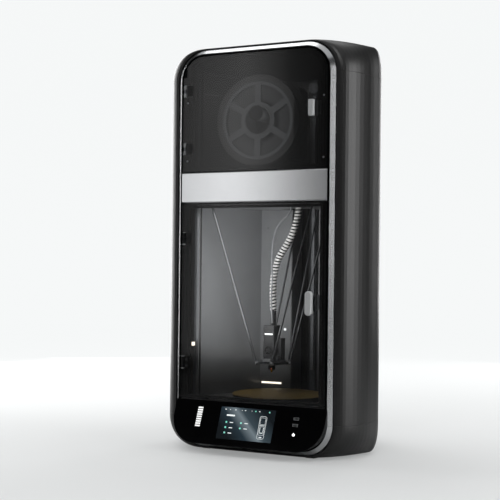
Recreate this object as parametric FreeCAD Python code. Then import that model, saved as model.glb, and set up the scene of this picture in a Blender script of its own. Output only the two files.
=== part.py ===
# Enclosed delta printer: a tall rounded cabinet with a filament bay above a heated print chamber.
# Millimetres, +Z up, the front faces -Y, +X is the right-hand side seen from the front.
# The origin is the middle of the footprint, on the floor.
import FreeCAD, Part
import math
import os

V = FreeCAD.Vector

# ---- cabinet, driving dimensions ----
TOTAL_HEIGHT = 1350.0
TOTAL_DEPTH = 600.0
FOOT_HEIGHT = 8.0
CONSOLE_REACH = 74.0            # how far the console stands out in front of the bezel's rim
WALL = 3.0                      # casing wall
RIM_GAP = 4.0                   # dark gap between the bezel and the casing
SEAM = 0.6                      # visible gap between casing parts
BEZEL_HALF_WIDTH = 286.5
BEZEL_HALF_HEIGHT = 665.0
BEZEL_CORNER = 101.7
BEZEL_BEVEL = 16.0              # the bevel is as deep as it is wide
BEZEL_LAND = 4.0                # flat strip along the bezel's inner edge
FLARE = 65.0                    # how far the flanks swell out behind the bezel
FLARE_DEPTH = 150.0
FLANK_ANGLE = 32.0              # degrees; the rear flanks close in on the rear column
FLANK_START = 200.0
FLANK_RADIUS = 110.0
REAR_RADIUS = 100.0

# ---- front, heights above the floor ----
BAND_BOTTOM = 830.5
BAND_TOP = 934.0
CONSOLE_TOP = 172.0
CONSOLE_BOTTOM = 34.0
CONSOLE_HALF_WIDTH = 276.5
DOOR_GAP = 2.0
DOOR_THICKNESS = 5.0
DOOR_BACK = -9.0                # depth of the doors' rear faces
OPENING_HALF_WIDTH = 235.0
PIN_X = -259.5
PIN_DEPTH = -11.5
PIN_RADIUS = 2.0
PIN_CLEARANCE = 0.05
KNUCKLE_RADIUS = 4.2

HINGES = {"upper": [(994.0, 1033.0), (1189.0, 1228.0)], "lower": [(272.0, 314.0), (690.0, 732.0)]}
BUTTON_Z = 85.6
PORT_PLACES = ((175.0, 134.0), (175.0, 114.5))
BAR_STEPS = 9

# ---- delta machine ----
BED_DEPTH = 203.0               # the bed's centre, behind the bezel's rim
BED_RADIUS = 160.0
BED_TOP = 181.6
TOWER_RADIUS = 302.0            # circle through the tower centres
TOWER_SIZE = 30.0
TOWER_BOTTOM = 22.0
TOWER_TOP = 1310.0
EFFECTOR_JOINT_RADIUS = 55.0
ARM_SPACING = 75.0
ARM_LENGTH = 605.0
ROD_RADIUS = 3.5
BALL_RADIUS = 4.0
CUP_RADIUS = 6.8
EFFECTOR_Z = 288.0
HEAD_X = -28.0
PULLEY_RADIUS = 17.0
DRIVE_Z = 95.0
IDLER_Z = 1275.0
DECK_Z = 158.0
CEILING_Z = 826.0
SPOOL_RADIUS = 152.0
SPOOL_BORE = 45.0
SPOOL_Z = 1102.5
SPOOL_FRONT = 18.0
SPOOL_WIDTH = 74.0
AXLE_RADIUS = 22.0
HOSE_RADIUS = 12.0
TUBE_RADIUS = 3.0

# ---- derived ----
RAIL_FACE = TOWER_RADIUS - TOWER_SIZE / 2      # a tower's inner face, from the machine's axis
CARRIAGE_JOINT_RADIUS = RAIL_FACE - 38
PULLEY_DEPTH = RAIL_FACE - 13.5                # the belt's centre line
RIM_Y = -TOTAL_DEPTH / 2 + CONSOLE_REACH
REAR_DEPTH = TOTAL_DEPTH - CONSOLE_REACH
BED_Y = RIM_Y + BED_DEPTH
MIDDLE_Z = (TOTAL_HEIGHT + FOOT_HEIGHT) / 2
CASING_HALF_HEIGHT = (TOTAL_HEIGHT - FOOT_HEIGHT) / 2
LIP_HALF_WIDTH = BEZEL_HALF_WIDTH + RIM_GAP + WALL
ARCH_TOP_Z = MIDDLE_Z + BEZEL_HALF_HEIGHT - BEZEL_CORNER
ARCH_BOTTOM_Z = MIDDLE_Z - BEZEL_HALF_HEIGHT + BEZEL_CORNER
INNER_HALF_WIDTH = BEZEL_HALF_WIDTH - BEZEL_BEVEL - BEZEL_LAND
INNER_HALF_HEIGHT = BEZEL_HALF_HEIGHT - BEZEL_BEVEL - BEZEL_LAND
INNER_CORNER = BEZEL_CORNER - BEZEL_BEVEL - BEZEL_LAND
DOOR_HALF_WIDTH = INNER_HALF_WIDTH - DOOR_GAP
CONSOLE_SLOPE = (CONSOLE_REACH - BEZEL_BEVEL) / (CONSOLE_TOP - CONSOLE_BOTTOM)
SPOOL_CENTRE = V(0, RIM_Y + SPOOL_FRONT, SPOOL_Z)
TURNS = {"left": 120, "right": 240, "rear": 0}


def depth(distance):
    """Y of a plane that lies this far behind the bezel's rim."""
    return RIM_Y + distance


def box(x0, x1, y0, y1, z0, z1):
    """Box between two corners."""
    return Part.makeBox(x1 - x0, y1 - y0, z1 - z0, V(x0, y0, z0))


def rod(radius, start, end):
    """Round bar from start to end."""
    axis = end - start
    return Part.makeCylinder(radius, axis.Length, start, axis)


def disc(radius, y0, y1, x, z):
    """Round plate across the depth direction."""
    return Part.makeCylinder(radius, y1 - y0, V(x, y0, z), V(0, 1, 0))


def fuse(shapes):
    """One solid from touching shapes."""
    return shapes[0].multiFuse(shapes[1:]).removeSplitter()


def group(shapes):
    """Separate solids kept in one node."""
    return Part.makeCompound(shapes)


def mirror_pair(shape):
    """The shape and its mirror image across the middle plane."""
    return [shape, shape.mirror(V(0, 0, 0), V(1, 0, 0))]


def quarter(start, corner, end):
    """Quarter ellipse from start to end, whose end tangents meet at corner."""
    curve = Part.BSplineCurve()
    weights = [1, math.sqrt(0.5), 1]
    curve.buildFromPolesMultsKnots([start, corner, end], [3, 3], [0, 1], False, 2, weights)
    return curve.toShape()


def rounded_wire(half_width, z0, z1, y, radii, corner_height=None):
    """Upright rectangle in the plane y; radii are the corners' widths at the top and the bottom."""
    top, bottom = radii
    high = corner_height or top
    low = corner_height or bottom
    w = half_width
    edges = []
    edges.append(Part.LineSegment(V(-w + bottom, y, z0), V(w - bottom, y, z0)).toShape())
    edges.append(quarter(V(w - bottom, y, z0), V(w, y, z0), V(w, y, z0 + low)))
    edges.append(Part.LineSegment(V(w, y, z0 + low), V(w, y, z1 - high)).toShape())
    edges.append(quarter(V(w, y, z1 - high), V(w, y, z1), V(w - top, y, z1)))
    edges.append(Part.LineSegment(V(w - top, y, z1), V(-w + top, y, z1)).toShape())
    edges.append(quarter(V(-w + top, y, z1), V(-w, y, z1), V(-w, y, z1 - high)))
    edges.append(Part.LineSegment(V(-w, y, z1 - high), V(-w, y, z0 + low)).toShape())
    edges.append(quarter(V(-w, y, z0 + low), V(-w, y, z0), V(-w + bottom, y, z0)))
    return Part.Wire(edges)


def rounded_plate(half_width, z0, z1, y0, y1, radii):
    """Upright rounded plate between two depths."""
    face = Part.Face(rounded_wire(half_width, z0, z1, y0, radii))
    return face.extrude(V(0, y1 - y0, 0))


def flat_plate(points, z0, z1):
    """Level plate whose outline is given as (x, depth) points."""
    corners = [V(x, depth(d), z0) for x, d in points]
    face = Part.Face(Part.makePolygon(corners + corners[:1]))
    return face.extrude(V(0, 0, z1 - z0))


def wall_strip(points, thickness, z0, z1):
    """Upright sheet that follows (x, depth) points, one plate for each stretch."""
    plates = []
    for (x0, d0), (x1, d1) in zip(points, points[1:]):
        run = V(x1 - x0, d1 - d0, 0)
        side = V(-run.y, run.x, 0).normalize() * thickness
        corners = [(x0, d0), (x1, d1), (x1 + side.x, d1 + side.y), (x0 + side.x, d0 + side.y)]
        plates.append(flat_plate(corners, z0, z1))
    return fuse(plates)


def at_tower(shape, name):
    """Turn a shape made for the rear tower to the named tower."""
    turned = shape.copy()
    turned.rotate(V(0, BED_Y, 0), V(0, 0, 1), TURNS[name])
    return turned


def tower_box(half_width, r0, r1, z0, z1, x=0.0):
    """Box at the rear tower, between two distances from the machine's axis."""
    return box(x - half_width, x + half_width, BED_Y + r0, BED_Y + r1, z0, z1)


def swept_tube(name, points, radius):
    """Tube along straight runs joined by tangent arcs; prints the arcs' radii and the volume test."""
    edges = []
    start = points[0]
    radii = []
    for before, here, after in zip(points, points[1:], points[2:]):
        back = (before - here).normalize()
        on = (after - here).normalize()
        half_turn = (math.pi - back.getAngle(on)) / 2
        reach = 0.45 * min((before - here).Length, (after - here).Length)
        arc_radius = reach / math.tan(half_turn)
        radii.append(round(arc_radius))
        bisector = (back + on).normalize()
        middle = here + bisector * (arc_radius / math.cos(half_turn) - arc_radius)
        edges.append(Part.LineSegment(start, here + back * reach).toShape())
        edges.append(Part.Arc(here + back * reach, middle, here + on * reach).toShape())
        start = here + on * reach
    edges.append(Part.LineSegment(start, points[-1]).toShape())
    path = Part.Wire(edges)
    circle = Part.Wire(Part.Circle(points[0], points[1] - points[0], radius).toShape())
    tube = path.makePipeShell([circle], True, False)
    ratio = tube.Volume / (math.pi * radius ** 2 * path.Length)
    print(name, "arc radii", radii, "length", round(path.Length), "volume ratio", round(ratio, 3))
    return tube


# ---- casing ----

def flank_half_width(d):
    """Half width of the casing at a depth: swelling, straight side, closing flank, rounded rear."""
    widest = LIP_HALF_WIDTH + FLARE
    angle = math.radians(FLANK_ANGLE)
    bend_end = FLANK_START + FLANK_RADIUS * math.sin(angle)
    rear_start = REAR_DEPTH - REAR_RADIUS * (1 - math.sin(angle))
    if d <= FLARE_DEPTH:
        return LIP_HALF_WIDTH + FLARE * math.sqrt(1 - (1 - d / FLARE_DEPTH) ** 2)
    if d <= FLANK_START:
        return widest
    if d <= bend_end:
        return widest - FLANK_RADIUS + math.sqrt(FLANK_RADIUS ** 2 - (d - FLANK_START) ** 2)
    bend = widest - FLANK_RADIUS * (1 - math.cos(angle))
    if d <= rear_start:
        return bend - (d - bend_end) * math.tan(angle)
    rear = bend - (rear_start - bend_end) * math.tan(angle)
    across = d - REAR_DEPTH + REAR_RADIUS
    return rear - REAR_RADIUS * math.cos(angle) + math.sqrt(max(REAR_RADIUS ** 2 - across ** 2, 0))


def casing_section(d, inset):
    """Outline of the casing at a depth, inset by a wall thickness."""
    blend = min(d / FLANK_START, 1.0)
    corner_width = 105.0 + (26.0 - 105.0) * blend
    corner_height = 105.0 + (85.0 - 105.0) * blend
    tail = 12.0 * max(d - REAR_DEPTH + 30.0, 0) ** 2 / 900.0
    shrink = tail + inset
    z0 = MIDDLE_Z - CASING_HALF_HEIGHT + shrink
    z1 = MIDDLE_Z + CASING_HALF_HEIGHT - shrink
    widths = (corner_width - inset, corner_width - inset)
    return rounded_wire(flank_half_width(d) - inset, z0, z1, depth(d), widths, corner_height - inset)


def casing_stations():
    """Depths of the casing's sections: close together where the flank turns."""
    swing = (7, 14, 21, 28, 36, 44, 53, 62, 71, 80, 90)
    flare = [FLARE_DEPTH * (1 - math.cos(math.radians(a))) for a in swing]
    bend = [FLANK_START + FLANK_RADIUS * math.sin(math.radians(FLANK_ANGLE * i / 5)) for i in range(6)]
    turn = [FLANK_ANGLE + (90 - FLANK_ANGLE) * i / 8 for i in range(9)]
    rear = [REAR_DEPTH - REAR_RADIUS * (1 - math.sin(math.radians(a))) for a in turn]
    return [0] + flare + bend + [340, 410] + rear


def casing_shell():
    """Hollow casing, open at the front."""
    stations = casing_stations()
    outer = Part.makeLoft([casing_section(d, 0) for d in stations], True, True)
    inner_wires = [casing_section(d, WALL) for d in stations[:-2] + [REAR_DEPTH - WALL]]
    front = inner_wires[0].copy()
    front.translate(V(0, -5, 0))
    inner = Part.makeLoft([front] + inner_wires, True, True)
    return outer.cut(inner)


def casing_parts():
    """Casing cut into caps, sides and the rear panel, with seams between them."""
    shell = casing_shell()
    wide = TOTAL_DEPTH
    low = ARCH_BOTTOM_Z
    high = ARCH_TOP_Z
    rear_half = 104.0
    y0, y1 = depth(REAR_DEPTH - 30), depth(REAR_DEPTH + 5)
    inlet = box(42, 92, y0, y1, 132, 162)
    slots = [box(35, 95, y0, y1, z, z + 5) for z in range(968, 1035, 11)]
    parts = {}
    parts["casing_top_cap"] = shell.common(box(-wide, wide, -wide, wide, high + SEAM, TOTAL_HEIGHT + 1))
    parts["casing_bottom_cap"] = shell.common(box(-wide, wide, -wide, wide, 0, low - SEAM))
    middle = shell.common(box(-wide, wide, -wide, wide, low, high))
    rear_zone = box(-rear_half, rear_half, depth(440), wide, low, high)
    parts["casing_rear_panel"] = middle.common(rear_zone).cut(inlet).cut(group(slots))
    gap_zone = box(-rear_half - SEAM, rear_half + SEAM, depth(440), wide, low - 1, high + 1)
    sides = middle.cut(gap_zone)
    parts["casing_left_side"] = sides.common(box(-wide, 0, -wide, wide, low, high))
    parts["casing_right_side"] = sides.common(box(0, wide, -wide, wide, low, high))
    return parts


def feet():
    """Two long rubber runners under the flanks and one pad under the rear column."""
    runner = flat_plate([(178, 38), (206, 38), (271, 256), (243, 256)], 0, FOOT_HEIGHT)
    rear = flat_plate([(-60, 400), (60, 400), (60, 450), (-60, 450)], 0, FOOT_HEIGHT)
    return group(mirror_pair(runner) + [rear])


# ---- bezel, band and front frame ----

def bezel_ring():
    """Bevelled metal ring around the whole front."""
    rim, land = BEZEL_HALF_WIDTH, INNER_HALF_WIDTH
    z0, z1 = MIDDLE_Z - BEZEL_HALF_HEIGHT, MIDDLE_Z + BEZEL_HALF_HEIGHT
    back = rounded_plate(rim, z0, z1, depth(0), depth(BEZEL_LAND), (BEZEL_CORNER, BEZEL_CORNER))
    b = BEZEL_BEVEL
    wires = [
        rounded_wire(rim, z0, z1, depth(0), (BEZEL_CORNER, BEZEL_CORNER)),
        rounded_wire(rim - b, z0 + b, z1 - b, depth(-b), (BEZEL_CORNER - b, BEZEL_CORNER - b)),
    ]
    bevel = Part.makeLoft(wires, True, True)
    inset = b + BEZEL_LAND
    corners = (INNER_CORNER, INNER_CORNER)
    hole = rounded_plate(land, z0 + inset, z1 - inset, depth(-b - 1), depth(BEZEL_LAND + 1), corners)
    return fuse([back, bevel]).cut(hole)


def bezel_parts():
    """The ring cut into its arches, its straight sides and the two ends of the band."""
    ring = bezel_ring()
    wide = TOTAL_DEPTH
    cuts = {
        "bezel_arches": ((0, ARCH_BOTTOM_Z), (ARCH_TOP_Z, TOTAL_HEIGHT)),
        "bezel_sides": ((ARCH_BOTTOM_Z, BAND_BOTTOM), (BAND_TOP, ARCH_TOP_Z)),
        "bezel_band_ends": ((BAND_BOTTOM, BAND_TOP),),
    }
    gap = SEAM / 2
    parts = {}
    for name, spans in cuts.items():
        pieces = [ring.common(box(-wide, wide, -wide, wide, z0 + gap, z1 - gap)) for z0, z1 in spans]
        parts[name] = group(pieces)
    return parts


def band_cover():
    """Metal band between the doors, with its long edges bevelled."""
    half = DOOR_HALF_WIDTH + DOOR_GAP - 0.5
    plate = box(-half, half, depth(-BEZEL_BEVEL), depth(3.5), BAND_BOTTOM + 0.5, BAND_TOP - 0.5)
    front = [e for e in plate.Edges if abs(e.CenterOfMass.y - depth(-BEZEL_BEVEL)) < 0.1 and e.Length > half]
    return plate.makeChamfer(4.0, front)


def front_frame():
    """Sheet frame behind the bezel, with a flange round each door's opening."""
    z0, z1 = MIDDLE_Z - 664, MIDDLE_Z + 664
    frame = rounded_plate(290.0, z0, z1, depth(4.5), depth(20), (101, 101))
    half = OPENING_HALF_WIDTH
    lower = (CONSOLE_TOP - 6, BAND_BOTTOM - 4, (6, 6))
    upper = (BAND_TOP + 4, MIDDLE_Z + 630, (55, 6))
    spare = rounded_plate(292.0, z0 - 2, z1 + 2, depth(7.5), depth(21), (102, 102))
    for low, high, radii in (lower, upper):
        flange = (radii[0] + 4, radii[1] + 4)
        spare = spare.cut(rounded_plate(half + 4, low - 4, high + 4, depth(0), depth(30), flange))
        frame = frame.cut(rounded_plate(half, low, high, depth(0), depth(30), radii))
    return frame.cut(spare)


def gasket(z0, z1, radii):
    """Soft seal between a door and the frame."""
    outer = rounded_plate(250.0, z0, z1, depth(DOOR_BACK + 0.5), depth(4.5), radii)
    inner_radii = (radii[0] - 9, radii[1] - 9)
    inner = rounded_plate(241.0, z0 + 9, z1 - 9, depth(DOOR_BACK), depth(5), inner_radii)
    seal = outer.cut(inner)
    for low, high in HINGES["upper"] + HINGES["lower"]:
        seal = seal.cut(box(-255, -225, depth(-10), depth(-6), low - 0.5, high + 0.5))
    return seal


# ---- doors ----

def door_panel(name, z0, z1, radii):
    """Door sheet, notched at its hinges and where it swings past the bezel's upper corner."""
    sheet = rounded_plate(DOOR_HALF_WIDTH, z0, z1, depth(DOOR_BACK - DOOR_THICKNESS), depth(DOOR_BACK), radii)
    for low, high in HINGES[name]:
        sheet = sheet.cut(box(-280, PIN_X + 7, depth(-20), depth(0), low - 1, high + 1))
    swing_room = box(-280, PIN_X + 8.5, depth(-20), depth(0), ARCH_TOP_Z + 12, TOTAL_HEIGHT)
    return sheet.cut(swing_room)


def hinge_leaf(low, high):
    """Door half of a hinge: a plate behind the sheet and the middle knuckle."""
    z0 = low + (high - low) / 3 + 0.4
    z1 = high - (high - low) / 3 - 0.4
    y = depth(PIN_DEPTH)
    plate = box(PIN_X + 6, -229, depth(DOOR_BACK), depth(DOOR_BACK + 2.5), low, high)
    web = box(PIN_X, PIN_X + 7, depth(DOOR_BACK), depth(DOOR_BACK + 1.5), z0, z1)
    knuckle = rod(KNUCKLE_RADIUS, V(PIN_X, y, z0), V(PIN_X, y, z1))
    bore = rod(PIN_RADIUS + PIN_CLEARANCE, V(PIN_X, y, low - 1), V(PIN_X, y, high + 1))
    return fuse([plate, web, knuckle]).cut(bore)


def hinge_bracket(low, high):
    """Frame half of a hinge: the outer two knuckles on arms that reach back to the stile."""
    third = (high - low) / 3
    y = depth(PIN_DEPTH)
    solids = []
    for z0, z1 in ((low, low + third), (high - third, high)):
        knuckle = rod(KNUCKLE_RADIUS, V(PIN_X, y, z0), V(PIN_X, y, z1))
        arm = box(PIN_X - 4.2, PIN_X + 1.5, y, depth(4.5), z0, z1)
        solids.append(fuse([knuckle, arm]).cut(rod(PIN_RADIUS, V(PIN_X, y, z0 - 1), V(PIN_X, y, z1 + 1))))
    return solids


def hinge_pin(low, high):
    """Steel pin through one hinge."""
    y = depth(PIN_DEPTH)
    return rod(PIN_RADIUS, V(PIN_X, y, low), V(PIN_X, y, high))


def screw_heads(places, radius):
    """Round screw heads on a door's front face."""
    front = depth(DOOR_BACK - DOOR_THICKNESS)
    return [disc(radius, front - 1.6, front, x, z) for x, z in places]


def upper_handle():
    """Small square-cut pull on the filament door."""
    front = depth(DOOR_BACK - DOOR_THICKNESS)
    block = box(202, 220, front - 14, front, 1102.5, 1155)
    return block.makeFillet(3.0, [e for e in block.Edges if e.CenterOfMass.y < front - 5])


def lower_handle():
    """Pill-shaped pull on the chamber door."""
    front = depth(DOOR_BACK - DOOR_THICKNESS)
    wire = rounded_wire(11.5, 464.6, 542.4, front - 16, (11.4, 11.4))
    pill = Part.Face(wire).extrude(V(0, 16, 0))
    pill.translate(V(209, 0, 0))
    rim = [e for e in pill.Edges if abs(e.CenterOfMass.y - (front - 16)) < 0.1]
    return pill.makeFillet(3.5, rim)


def lower_latch():
    """Magnet carrier behind the glass, opposite the pull."""
    return box(213, 222, depth(DOOR_BACK), depth(DOOR_BACK + 9), 479, 527)


def door_catches():
    """Steel catch plates on the right-hand stile."""
    lower = box(OPENING_HALF_WIDTH - 10, OPENING_HALF_WIDTH, depth(6), depth(18), 481, 531)
    upper = box(OPENING_HALF_WIDTH - 10, OPENING_HALF_WIDTH, depth(6), depth(18), 1112, 1154)
    return [lower, upper]


# ---- console ----

def console_half_space(offset):
    """Everything behind the console's sloping face, moved back by an offset."""
    shift = offset * math.sqrt(1 + CONSOLE_SLOPE ** 2)
    top = V(0, depth(-BEZEL_BEVEL) + shift, CONSOLE_TOP)
    low = V(0, depth(-CONSOLE_REACH) + shift, CONSOLE_BOTTOM)
    up = (top - low) * 3
    corners = [low - up, top + up, V(0, 900, (top + up).z), V(0, 900, (low - up).z)]
    face = Part.Face(Part.makePolygon(corners + corners[:1]))
    solid = face.extrude(V(1200, 0, 0))
    solid.translate(V(-600, 0, 0))
    return solid


def console_prism(inset):
    """Console outline run through the depth, inset from its edges."""
    corner = BEZEL_CORNER - BEZEL_HALF_WIDTH + CONSOLE_HALF_WIDTH - inset
    z0, z1 = CONSOLE_BOTTOM + inset, CONSOLE_TOP - inset
    y0, y1 = depth(-CONSOLE_REACH - 5), depth(-BEZEL_BEVEL - 0.4)
    return rounded_plate(CONSOLE_HALF_WIDTH - inset, z0, z1, y0, y1, (4.2, corner))


def round_on_slope(x, z, radius, front, back):
    """Cylinder square to the console's face, between two distances behind it."""
    tilt = math.degrees(math.atan(CONSOLE_SLOPE))
    bar = Part.makeCylinder(radius, back - front, V(0, front, 0), V(0, 1, 0))
    bar.rotate(V(0, 0, 0), V(1, 0, 0), -tilt)
    bar.translate(V(x, depth(-BEZEL_BEVEL) - (CONSOLE_TOP - z) * CONSOLE_SLOPE, z))
    return bar


def console_housing():
    """Wedge-shaped body under the chamber door, hollow behind the glass."""
    body = console_prism(0).common(console_half_space(3.0))
    hollow = console_prism(4).common(console_half_space(8.0))
    hollow = hollow.fuse(box(-200, 200, depth(-40), depth(0), 60, 150).common(console_half_space(8.0)))
    spigot = box(-262, 262, depth(-BEZEL_BEVEL - 0.4), depth(4.5), 120, CONSOLE_TOP)
    window = on_slope(0, 105, 101, 55, 2.0, 20.0)
    whole = fuse([body, spigot]).cut(hollow).cut(window)
    whole = whole.cut(round_on_slope(175, BUTTON_Z, 7.6, 2.0, 20.0))
    for x, z in PORT_PLACES:
        whole = whole.cut(on_slope(x, z, 9.6, 4.6, 2.0, 20.0))
    return whole


def on_slope(x, z, half_width, half_height, front, back):
    """Block square to the console's face, between two distances behind it."""
    tilt = math.degrees(math.atan(CONSOLE_SLOPE))
    y = depth(-BEZEL_BEVEL) - (CONSOLE_TOP - z) * CONSOLE_SLOPE
    block = box(-half_width, half_width, front, back, -half_height, half_height)
    block.rotate(V(0, 0, 0), V(1, 0, 0), -tilt)
    block.translate(V(x, y, z))
    return block


def console_glass():
    """Glossy sheet over the whole console face, pierced for the button and the ports."""
    sheet = console_prism(1.5).common(console_half_space(0)).cut(console_half_space(2.8))
    sheet = sheet.cut(round_on_slope(175, BUTTON_Z, 7.6, -5, 6))
    for x, z in PORT_PLACES:
        sheet = sheet.cut(on_slope(x, z, 9.6, 4.6, -5, 6))
    return sheet


def usb_ports():
    """Two metal port shells set in the glass."""
    shells = []
    for x, z in PORT_PLACES:
        shell = on_slope(x, z, 9.4, 4.4, -0.4, 12.0).cut(on_slope(x, z, 7.8, 3.5, -2, 10.5))
        shells.append(shell)
    return group(shells)


def status_bar():
    """Column of light segments that shows the print's progress."""
    pitch = 64.0 / BAR_STEPS
    heights = [86 + pitch * (i + 0.5) for i in range(BAR_STEPS)]
    return [on_slope(-177, z, 9, pitch * 0.36, -0.6, 0) for z in heights]


def power_button():
    """Round push button that stands just proud of the glass."""
    return round_on_slope(175, BUTTON_Z, 7.2, -0.8, 4.6)


# ---- chamber ----

def tower_cutouts(z0, z1):
    """Clear space around each tower, belt and carriage."""
    return [at_tower(tower_box(48, RAIL_FACE - 46, RAIL_FACE + 60, z0, z1), name) for name in TURNS]


LINER_PATH = [(-284, 8.3), (-296, 110), (-178, 415), (-54, 415), (-54, 500)]


def liner(sign, z0, z1):
    """Chamber wall on one side, from the frame round to the rear column."""
    path = [(sign * x, d) for x, d in LINER_PATH]
    if sign > 0:
        path = path[::-1]
    return wall_strip(path, 2.0, z0, z1)


def level_sheet(z0, z1):
    """Sheet that fills the chamber's plan, cut away round the towers."""
    right = [(280, 24), (291, 108), (174, 411), (50, 411)]
    outline = [(-x, d) for x, d in right[::-1]] + right
    sheet = flat_plate(outline[4:] + outline[:4], z0, z1)
    return sheet.cut(group(tower_cutouts(z0 - 1, z1 + 1)))


def arm_slot(name):
    """Slot in the bay's floor for a tower's arms, long enough for the whole lift."""
    turn = FreeCAD.Rotation(V(0, 0, 1), TURNS[name])
    corners = []
    for side, share in ((-1, 0), (1, 0), (1, 0.62), (-1, 0.62)):
        high = turn.multVec(V(side * 50, CARRIAGE_JOINT_RADIUS + 12, 0))
        low = turn.multVec(V(side * 50, EFFECTOR_JOINT_RADIUS, 0)) + V(HEAD_X, 0, 0)
        corners.append(V(0, BED_Y, CEILING_Z - 1) + high + (low - high) * share)
    return Part.Face(Part.makePolygon(corners + corners[:1])).extrude(V(0, 0, 6))


def bed_stack():
    """Heater plate on its insulated base, and the build sheet on top."""
    base = Part.makeCylinder(BED_RADIUS - 8, 172.0 - DECK_Z - 4, V(0, BED_Y, DECK_Z + 4))
    heater = Part.makeCylinder(BED_RADIUS - 1, 8.0, V(0, BED_Y, 172.0))
    sheet = Part.makeCylinder(BED_RADIUS, BED_TOP - 180.0, V(0, BED_Y, 180.0))
    return {"heated_bed": fuse([base, heater]), "build_sheet": sheet}


# ---- towers ----

def tower_extrusion():
    """Slotted aluminium profile."""
    half = TOWER_SIZE / 2
    inner, outer = RAIL_FACE, RAIL_FACE + TOWER_SIZE
    bar = tower_box(half, inner, outer, TOWER_BOTTOM, TOWER_TOP)
    slots = [
        tower_box(4.1, outer - 6, outer + 1, 0, TOTAL_HEIGHT),
        tower_box(6, TOWER_RADIUS - 4.1, TOWER_RADIUS + 4.1, 0, TOTAL_HEIGHT, half),
        tower_box(6, TOWER_RADIUS - 4.1, TOWER_RADIUS + 4.1, 0, TOTAL_HEIGHT, -half),
    ]
    return bar.cut(group(slots))


def linear_rail():
    """Guide rail on the tower's inner face."""
    return tower_box(6, RAIL_FACE - 8, RAIL_FACE, 240, 1250)


def joint_height(name):
    """Height of a carriage's ball joints that the arms' length gives for the head's place."""
    shift = V(-HEAD_X, 0, 0)
    angle = math.radians(90 + TURNS[name])
    reach = CARRIAGE_JOINT_RADIUS - EFFECTOR_JOINT_RADIUS
    across = V(reach * math.cos(angle), reach * math.sin(angle), 0) + shift
    return EFFECTOR_Z + math.sqrt(ARM_LENGTH ** 2 - across.Length ** 2)


def carriage(name):
    """Slide block, plate and the two ball studs of one tower, at its own height."""
    z = joint_height(name)
    block = tower_box(13.5, RAIL_FACE - 18, RAIL_FACE - 4, z - 22, z + 30)
    block = block.cut(tower_box(6.3, RAIL_FACE - 8.4, RAIL_FACE, z - 40, z + 40))
    plate = tower_box(30, RAIL_FACE - 26, RAIL_FACE - 18, z - 26, z + 34)
    solids = [block, plate]
    for sign in (-1, 1):
        bracket = tower_box(5, CARRIAGE_JOINT_RADIUS - 5, RAIL_FACE - 24, z - 6, z + 6, sign * 25)
        solids.append(bracket)
        start = V(sign * 29, BED_Y + CARRIAGE_JOINT_RADIUS, z)
        end = V(sign * ARM_SPACING / 2, BED_Y + CARRIAGE_JOINT_RADIUS, z)
        solids.append(rod(2.0, start, end))
        solids.append(Part.makeSphere(BALL_RADIUS, end))
    return at_tower(fuse(solids), name)


def arm_pair(name):
    """Two parallel rods with a cup at each end, from the effector's studs to the carriage's."""
    z = joint_height(name)
    turn = FreeCAD.Rotation(V(0, 0, 1), TURNS[name])
    centre = V(0, BED_Y, 0)
    solids = []
    for sign in (-1, 1):
        side = sign * ARM_SPACING / 2
        low = centre + turn.multVec(V(side, EFFECTOR_JOINT_RADIUS, 0)) + V(HEAD_X, 0, EFFECTOR_Z)
        high = centre + turn.multVec(V(side, CARRIAGE_JOINT_RADIUS, 0)) + V(0, 0, z)
        axis = turn.multVec(V(sign, 0, 0))
        cup = fuse([Part.makeSphere(CUP_RADIUS, p) for p in (low, high)] + [rod(ROD_RADIUS, low, high)])
        for p in (low, high):
            cup = cup.cut(Part.makeSphere(BALL_RADIUS + PIN_CLEARANCE, p))
            cup = cup.cut(rod(3.4, p - axis * 12, p))
        solids.append(cup)
    return group(solids)


def motor():
    """Stepper motor under the deck, its shaft pointing outwards."""
    body = tower_box(21, RAIL_FACE - 68, RAIL_FACE - 27, DRIVE_Z - 21, DRIVE_Z + 21)
    upright = [e for e in body.Edges if abs(e.Length - 41) < 0.1]
    body = body.makeChamfer(4.0, upright)
    bore = Part.makeCylinder(2.55, 20, V(0, BED_Y + RAIL_FACE - 45, DRIVE_Z), V(0, 1, 0))
    return body.cut(bore)


def pulley_wheel(z):
    """Pulley body between two flanges, in line with the belt."""
    solids = []
    for radius, offset, width in ((19.0, -4.3, 1.0), (PULLEY_RADIUS - 0.4, -3.3, 6.6), (19.0, 3.3, 1.0)):
        centre = V(0, BED_Y + PULLEY_DEPTH + offset, z)
        solids.append(Part.makeCylinder(radius, width, centre, V(0, 1, 0)))
    return fuse(solids)


def drive_pulley():
    """Toothed pulley with its flanges and the motor's shaft."""
    shaft = Part.makeCylinder(2.5, 34, V(0, BED_Y + RAIL_FACE - 42, DRIVE_Z), V(0, 1, 0))
    return fuse([shaft, pulley_wheel(DRIVE_Z)])


def idler_pin():
    """Shaft that carries the upper pulley, fixed in the tower's inner face."""
    return Part.makeCylinder(3.0, 23, V(0, BED_Y + RAIL_FACE - 23, IDLER_Z), V(0, 1, 0))


def idler_pulley():
    """Plain pulley at the top of a tower."""
    bore = Part.makeCylinder(3.05, 60, V(0, BED_Y + 230, IDLER_Z), V(0, 1, 0))
    return pulley_wheel(IDLER_Z).cut(bore)


def belt():
    """Closed toothed belt round the two pulleys, as one plain loop."""
    y0, y1 = BED_Y + PULLEY_DEPTH - 3, BED_Y + PULLEY_DEPTH + 3
    outer_radius = PULLEY_RADIUS + 1.4
    loops = []
    for radius in (outer_radius, PULLEY_RADIUS):
        low = Part.makeCylinder(radius, y1 - y0, V(0, y0, DRIVE_Z), V(0, 1, 0))
        high = Part.makeCylinder(radius, y1 - y0, V(0, y0, IDLER_Z), V(0, 1, 0))
        loops.append(fuse([low, high, box(-radius, radius, y0, y1, DRIVE_Z, IDLER_Z)]))
    return loops[0].cut(loops[1])


# ---- print head ----

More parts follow.
